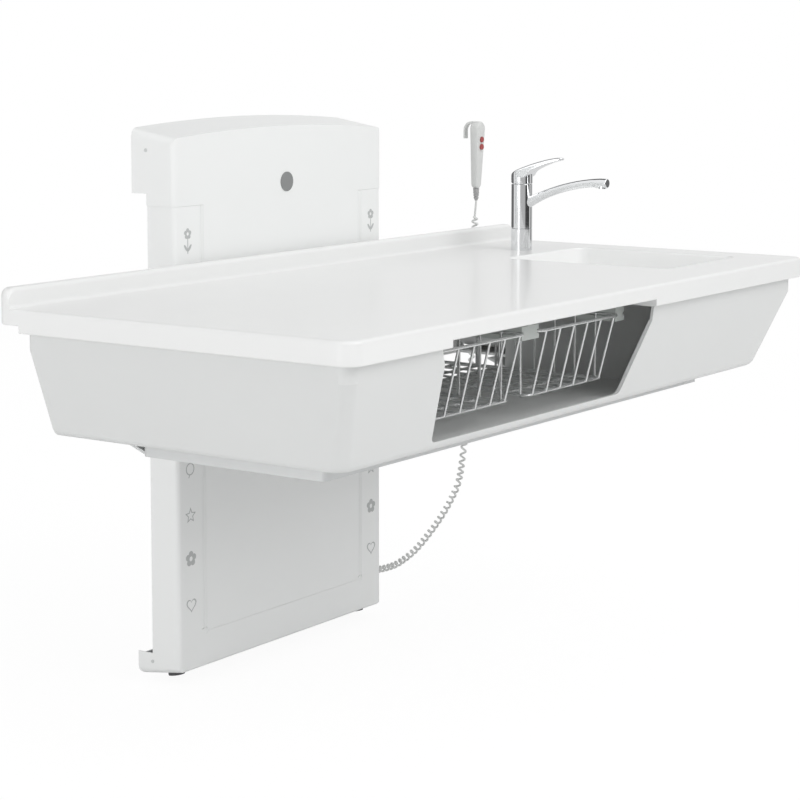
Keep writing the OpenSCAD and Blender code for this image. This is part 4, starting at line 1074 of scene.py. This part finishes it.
    def _slab(self) -> bpy.types.Mesh:
        """Returns the slab's mesh with its bowl.

        Returns:
            The mesh.
        """
        loft = Loft("table_slab")
        outer = [loft.ring(self._outer(self.foot_r * (1 - math.sin(a)), None,
                                       self.foot_r * (1 - math.cos(a))))
                 for a in (math.pi / 2 * i / 3 for i in range(4))]
        outer += [loft.ring(self._outer(inset, -drop)) for inset, drop in quarter(self.edge_r)]
        loft.stack(outer)
        lip = [loft.ring(self._bowl_ring(-self.lip_r * (1 - math.sin(a)),
                                         -self.lip_r * (1 - math.cos(a)),
                                         self.bowl_r + self.lip_r * (1 - math.sin(a))))
               for a in (math.pi / 2 * i / 6 for i in range(7))]
        wall = []
        low = -self.bowl_h + self.floor_r
        for i in range(1, 5):
            z = -self.lip_r + (low + self.lip_r) * i / 4
            wall.append(loft.ring(self._bowl_ring(self._wall(z), z, self.bowl_r)))
        for i in range(1, 7):
            a = math.pi / 2 * i / 6
            inset = self._wall(low) + self.floor_r * (1 - math.cos(a))
            wall.append(loft.ring(self._bowl_ring(
                inset, low - self.floor_r * math.sin(a),
                self.bowl_r - 0.8 * self.floor_r * (1 - math.cos(a)))))
        floor = [loft.ring(self._round_ring(r, -self.bowl_h, [loft.verts[i] for i in wall[-1]]))
                 for r in (60.0, self.waste_r)]
        under = [loft.ring(self._round_ring(self.waste_r, -self.bowl_h - self.bowl_t,
                                            [loft.verts[i] for i in wall[-1]]))]
        low_out = -self.bowl_h - self.bowl_t
        outside = []
        for i in range(6, -1, -1):
            a = math.pi / 2 * i / 6
            r = self.floor_r + 3
            lean = r * (1 - math.cos(a))
            outside.append(loft.ring(self._bowl_ring(
                self.draft - self.bowl_t + lean, low_out + r - r * math.sin(a),
                self.bowl_r + 4 - 0.7 * lean)))
        outside.append(loft.ring(self._bowl_ring(-self.bowl_t, -self.deck_t,
                                                 self.bowl_r + self.bowl_t)))
        loft.stack(lip + wall + floor + under + outside)
        loft.cap(outer[-1], lip[0])
        pocket = [loft.ring(self._inner(-self.deck_t)), loft.ring(self._inner(None))]
        loft.skin(pocket[0], pocket[1])
        loft.cap(pocket[0], outside[-1])
        loft.skin(outer[0], pocket[1])
        return loft.mesh()

    def _splash(self) -> bpy.types.Mesh:
        """Returns the backsplash, swept along X with rounded ends.

        Returns:
            The mesh.
        """
        loft = Loft("backsplash")
        half = self.length / 2
        cuts = [self.end_r * (1 - math.cos(math.pi / 2 * i / 8)) for i in range(9)]
        xs = [-half + c for c in cuts] + [half - c for c in reversed(cuts)]
        rings = []
        for x in xs:
            d = min(half - abs(x), self.end_r)
            top = self.splash_h - self.end_r + math.sqrt(
                max(0.0, self.end_r ** 2 - (self.end_r - d) ** 2))
            e = min(d, self.back_r)
            back = self.depth - self.back_r + math.sqrt(
                max(0.0, self.back_r ** 2 - (self.back_r - e) ** 2))
            rings.append(loft.ring([on_table(x, y, z)
                                    for y, z in self._splash_profile(top, back)]))
        loft.stack(rings)
        loft.faces.append(tuple(rings[0]))
        loft.faces.append(tuple(reversed(rings[-1])))
        return loft.mesh()

    def _splash_profile(self, top: float, back: float) -> list[tuple[float, float]]:
        """Returns the backsplash's section, from its cove to its back.

        Args:
            top: Height of its upper edge.
            back: Place of its back face.

        Returns:
            The section's points.
        """
        front = self.depth - self.splash_t
        r, cove = min(self.splash_r, (back - front) / 2), self.cove_r
        points = [(front - cove, -self.edge_r), (front - cove, 0.0)]
        for i in range(1, 7):
            a = math.pi / 2 * i / 6
            points.append((front - cove + cove * math.sin(a), cove * (1 - math.cos(a))))
        for i in range(7):
            a = math.pi / 2 * i / 6
            points.append((front + r * (1 - math.cos(a)), top - r + r * math.sin(a)))
        for i in range(7):
            a = math.pi / 2 * i / 6
            points.append((back - r + r * math.sin(a), top - r + r * math.cos(a)))
        points.append((back, -self.edge_r))
        return points


# Mixer tap


def eased(stops: Sequence[tuple[float, float]], at: float) -> float:
    """Returns a smooth curve's value, where its stops run in falling order of their place.

    Args:
        stops: Pairs of place and value, the places falling.
        at: The place.

    Returns:
        The value there.
    """
    if at >= stops[0][0]:
        return stops[0][1]
    if at <= stops[-1][0]:
        return stops[-1][1]
    k = next(i for i in range(len(stops) - 1) if stops[i + 1][0] <= at)
    (x0, v0), (x1, v1) = stops[k], stops[k + 1]
    before, after = stops[max(0, k - 1)], stops[min(len(stops) - 1, k + 2)]
    m0 = (v1 - before[1]) / (x1 - before[0]) if x1 != before[0] else 0.0
    m1 = (after[1] - v0) / (after[0] - x0) if after[0] != x0 else 0.0
    step = x1 - x0
    t = (at - x0) / step
    return ((2 * t ** 3 - 3 * t ** 2 + 1) * v0 + (t ** 3 - 2 * t ** 2 + t) * step * m0
            + (3 * t ** 2 - 2 * t ** 3) * v1 + (t ** 3 - t ** 2) * step * m1)


@dataclass
class MixerTap:
    """The mixer's swivelling body with its arched spout, and the lever on top."""

    place: tuple[float, float] = (520.0, 499.0)
    body_r: float = 20.0
    body_low: float = 41.3
    body_top: float = 126.0
    arc_r: float = 375.0
    arc_low: float = 3.0
    reach: float = 152.0
    root_drop: float = 33.0
    tube: Stops = (
        (1.0, 9.6), (0.93, 8.9), (0.8, 8.1), (0.6, 7.6), (0.3, 7.5), (0.0, 7.9))
    lip_y: float = -159.0
    lip: float = 1.0
    dome_r: float = 20.5
    tip: float = -91.0
    tip_r: float = 9.0
    hinge_y: float = 9.0
    tip_up: float = 16.0
    spout_crease: float = 30.0
    lever_crease: float = 45.0
    crown: Stops = (
        (20.5, 9.0), (20.1, 13.5), (19.0, 17.0), (17.0, 19.8), (14.0, 22.4), (8.0, 25.9),
        (0.0, 29.4), (-10.0, 33.3), (-25.0, 38.6), (-45.0, 44.6), (-62.0, 48.8),
        (-78.0, 51.4), (-86.0, 51.8), (-89.5, 50.9), (-91.0, 49.2))
    belly: Stops = (
        (20.5, 8.5), (10.0, 10.5), (0.0, 12.0), (-14.0, 13.0), (-19.0, 17.0), (-23.0, 22.4),
        (-30.0, 27.2), (-40.0, 31.8), (-58.0, 38.8), (-75.0, 43.6), (-86.0, 46.4),
        (-91.0, 48.9))

    def build(self) -> None:
        """Makes the spout and the lever."""
        spout = new_object("mixer_spout_form", self._spout(), CHROME, "spout")
        smooth(spout, self.spout_crease)
        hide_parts("mixer_spout")
        lever = new_object("mixer_lever_form", self._lever(), CHROME, "mixer_lever")
        smooth(lever, self.lever_crease)
        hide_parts("mixer_lever")

    def _at(self, x: float, y: float, z: float) -> Vector:
        """Returns a point given from the mixer's axis and the table's surface."""
        return on_table(self.place[0] + x, self.place[1] + y, z)

    def _circle(self, radius: float, z: float, count: int = 64) -> list[Vector]:
        """Returns a level circle round the mixer's axis."""
        return [self._at(radius * math.cos(2 * math.pi * i / count),
                         radius * math.sin(2 * math.pi * i / count), z) for i in range(count)]

    def _spout(self) -> bpy.types.Mesh:
        """Returns the body and the spout's tapering tube.

        Returns:
            The mesh.
        """
        loft = Loft("mixer_spout_form")
        profile = [(14.0, self.body_low), (self.body_r - 0.7, self.body_low),
                   (self.body_r, self.body_low + 0.7), (self.body_r, self.body_top - 1.6),
                   (self.body_r - 0.5, self.body_top - 0.5), (self.body_r - 1.6, self.body_top),
                   (8.0, self.body_top)]
        rings = [loft.ring(self._circle(r, z)) for r, z in profile]
        loft.stack(rings)
        loft.skin(rings[-1], rings[0])
        self._tube(loft)
        return loft.mesh()

    def _tube(self, loft: Loft) -> None:
        """Adds the spout's tube, from inside the body to its rounded mouth.

        Args:
            loft: The loft that gets it.
        """
        low = math.radians(self.arc_low)
        high = math.asin(self.reach / self.arc_r + math.sin(low))
        root = (-20.0, self.body_top - self.root_drop)
        mid = (root[0] - self.arc_r * math.sin(high), root[1] - self.arc_r * math.cos(high))
        stations = []
        for i in range(49):
            share = 1.04 - 1.04 * i / 48
            a = low + (high - low) * share
            stations.append((mid[0] + self.arc_r * math.sin(a), mid[1] + self.arc_r * math.cos(a),
                             a, eased(self.tube, min(1.0, share))))
        y, z, a, r = stations[-1]
        stations += [(y - 1.5 * i, z - 0.02 * i, low * (1 - i / 8), r) for i in range(1, 9)]
        y, z, a, r = stations[-1]
        stations += [(y - 2 * math.sin(t), z, 0.0, r - 2 * (1 - math.cos(t)))
                     for t in (math.pi / 2 * i / 5 for i in range(1, 6))]
        rings = []
        for y, z, a, r in stations:
            lip = min(1.0, max(0.0, (self.lip_y - y) / 2.5))
            r, z = r + self.lip * lip, z - self.lip * lip
            rings.append(loft.ring([
                self._at(r * math.cos(t), y + r * math.sin(t) * math.sin(a),
                         z + r * math.sin(t) * math.cos(a))
                for t in (2 * math.pi * k / 40 for k in range(40))]))
        loft.stack(rings)
        loft.faces.append(tuple(rings[0]))
        loft.faces.append(tuple(reversed(rings[-1])))

    def _half_width(self, y: float) -> float:
        """Returns the lever's half width at a distance along it.

        Args:
            y: The distance, negative toward the tip.

        Returns:
            The half width, in millimetres.
        """
        lean = (self.dome_r - self.tip_r) / (-self.tip - self.tip_r)
        start, stop = -self.dome_r * lean, self.tip + self.tip_r - self.tip_r * lean
        if y > start:
            return math.sqrt(max(0.0, self.dome_r ** 2 - y ** 2))
        if y < stop:
            return math.sqrt(max(0.0, self.tip_r ** 2 - (y - self.tip - self.tip_r) ** 2))
        w0 = math.sqrt(self.dome_r ** 2 - start ** 2)
        w1 = math.sqrt(self.tip_r ** 2 - (stop - self.tip - self.tip_r) ** 2)
        return w0 + (w1 - w0) * (start - y) / (start - stop)

    def _lever(self) -> bpy.types.Mesh:
        """Returns the lever: a round base and a handle that grows out of its crown.

        Returns:
            The mesh.
        """
        loft = Loft("mixer_lever_form")
        half = (self.dome_r - self.tip) / 2
        mid = (self.dome_r + self.tip) / 2
        rings = []
        for i in range(1, 64):
            y = mid + half * math.cos(math.pi * i / 64)
            rings.append(loft.ring(self._section(y)))
        loft.stack(rings)
        loft.faces.append(tuple(rings[0]))
        loft.faces.append(tuple(reversed(rings[-1])))
        base = []
        for r, z in ((self.dome_r - 0.6, 0.5), (self.dome_r, 1.1)):
            base.append(loft.ring([p + Vector((0, 0, self._relief(p.y)))
                                   for p in self._circle(r, self.body_top + z)]))
        base.append(loft.ring([self._at(
            self.dome_r * math.cos(t), self.dome_r * math.sin(t),
            self.body_top + eased(self.belly, self.dome_r * math.sin(t)) + 1.2)
            for t in (2 * math.pi * k / 64 for k in range(64))]))
        loft.stack(base)
        loft.faces.append(tuple(reversed(base[0])))
        loft.cap(base[-1])
        return loft.mesh()

    def _relief(self, y: float) -> float:
        """Returns how much the base's back is cut away, so that the lever can tip up."""
        past = y - on_table(0, self.place[1] + self.hinge_y, 0).y
        return max(0.0, past) * math.tan(math.radians(self.tip_up))

    def _section(self, y: float) -> list[Vector]:
        """Returns the handle's section: a soft crown on a flat belly.

        Args:
            y: Distance along the handle.

        Returns:
            The section's points.
        """
        w = self._half_width(y)
        top = eased(self.crown, y)
        low = min(eased(self.belly, y), top - 0.4)
        rise = min(6.0, 0.6 * (top - low))
        foot = min(1.5, 0.25 * (top - low), 0.5 * w)
        half = [(w * math.sin(t) ** 0.72, top - rise + rise * math.cos(t) ** 0.72)
                for t in (math.pi / 2 * k / 12 for k in range(12))]
        half += [(w - foot * (1 - math.cos(t)), low + foot * (1 - math.sin(t)))
                 for t in (math.pi / 2 * k / 4 for k in range(5))]
        half.insert(12, (w, top - rise))
        other = [(-x, z) for x, z in reversed(half[1:])]
        return [self._at(x, y, self.body_top + z) for x, z in half + other]


# Slot lips


@dataclass
class SlotLips:
    """Thin soft lips that meet in the middle of each slot and close round the arms."""

    slot_x: float = 224.0
    slit: float = 0.12
    root: float = 2.7
    front: float = -91.45
    thick: float = 1.3
    low: float = -389.5
    high: float = 329.4
    crease: float = 60.0

    def build(self) -> None:
        """Makes the two lips of both slots."""
        loft = Loft("slot_lip_strips")
        for centre in (-self.slot_x, self.slot_x):
            for side in (-1, 1):
                ends = [loft.ring([mm(centre + side * x, y, z) for x, y in self._profile()])
                        for z in (self.low, self.high)]
                loft.skin(ends[0], ends[1])
                loft.faces += [tuple(reversed(ends[0])), tuple(ends[1])]
        strips = new_object("slot_lip_strips", loft.mesh(), SEAL, "column")
        smooth(strips, self.crease)

    def _profile(self) -> list[tuple[float, float]]:
        """Returns a lip's section: a flat web with a rounded nose.

        Returns:
            The section's points.
        """
        half = self.thick / 2
        nose = [(self.slit + half * (1 - math.cos(a)), self.front + half - half * math.sin(a))
                for a in (math.pi / 2 - math.pi * i / 6 for i in range(7))]
        return [(self.root, self.front), *nose, (self.root, self.front + self.thick)]


# Springs


@dataclass
class PlateSprings:
    """The four coil springs between the safety plate and the apron."""

    xs: tuple[float, float] = (-520.0, 520.0)
    ys: tuple[float, float] = (-557.0, -297.0)
    low: float = -6.7
    high: float = 6.7
    radius: float = 6.3
    wire_r: float = 0.9
    turns: int = 4
    steps: int = 20
    keep: float = 0.62
    crease: float = 60.0

    def build(self) -> None:
        """Makes the springs."""
        loft = Loft("plate_spring_coils")
        for x in self.xs:
            for y in self.ys:
                self._coil(loft, x, y)
        coils = new_object("plate_spring_coils", loft.mesh(), SPRING, "table")
        smooth(coils, self.crease)
        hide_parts("plate_springs")
        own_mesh(coils)

    def _coil(self, loft: Loft, x: float, y: float) -> None:
        """Adds one coil with a closed turn at each end.

        Args:
            loft: The loft that gets it.
            x: Place of its middle along X.
            y: Place of its middle along Y.
        """
        count = self.turns * self.steps
        span = self.high - self.low - 2 * self.wire_r
        rings = []
        for i in range(count + 1):
            turn = 2 * math.pi * i / self.steps
            rise = min(1.0, max(0.0, (i / self.steps - 0.6) / (self.turns - 1.2)))
            z = self.low + self.wire_r + span * rise
            way = Vector((math.cos(turn), math.sin(turn), 0.0))
            rings.append(loft.ring([
                mm(x, y, z) + (way * (self.radius + self.wire_r * math.cos(a))
                               + Vector((0, 0, self.wire_r * math.sin(a)))) * MM
                for a in (2 * math.pi * k / 8 for k in range(8))]))
        loft.stack(rings)
        loft.faces.append(tuple(reversed(rings[0])))
        loft.faces.append(tuple(rings[-1]))


# Dressing of CAD nodes


@dataclass
class Chassis:
    """Carries over the nodes whose solids already have the right shape."""

    weld_gap: float = 0.000005

    def build(self, nodes: dict[str, bpy.types.Object]) -> None:
        """Gives every node its finish and smooth shading.

        Args:
            nodes: The frame's nodes by name.
        """
        for name, node in nodes.items():
            node.data.materials.clear()
            node.data.materials.append(NODE_FINISH[name].material())
            weld = node.modifiers.new("weld", "WELD")
            weld.merge_threshold = self.weld_gap
            smooth(node)


# The whole object


def corners(box: tuple[Vector, Vector]) -> list[list[float]]:
    """Returns a box's two corners as plain lists."""
    return [[float(v) for v in corner] for corner in box]


def main() -> None:
    """Builds the scene."""
    logging.basicConfig(level=logging.INFO, format="%(name)s: %(message)s")
    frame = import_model()
    Studio().build()
    LOG.info("studio built")
    CurlyCord().build()
    LOG.info("curly cord built")
    TableTop().build()
    LOG.info("table top built")
    MixerTap().build()
    LOG.info("mixer tap built")
    SlotLips().build()
    LOG.info("slot lips built")
    PlateSprings().build()
    LOG.info("plate springs built")
    Chassis().build(frame["nodes"])
    LOG.info("nodes dressed")


if __name__ == "__main__":
    main()
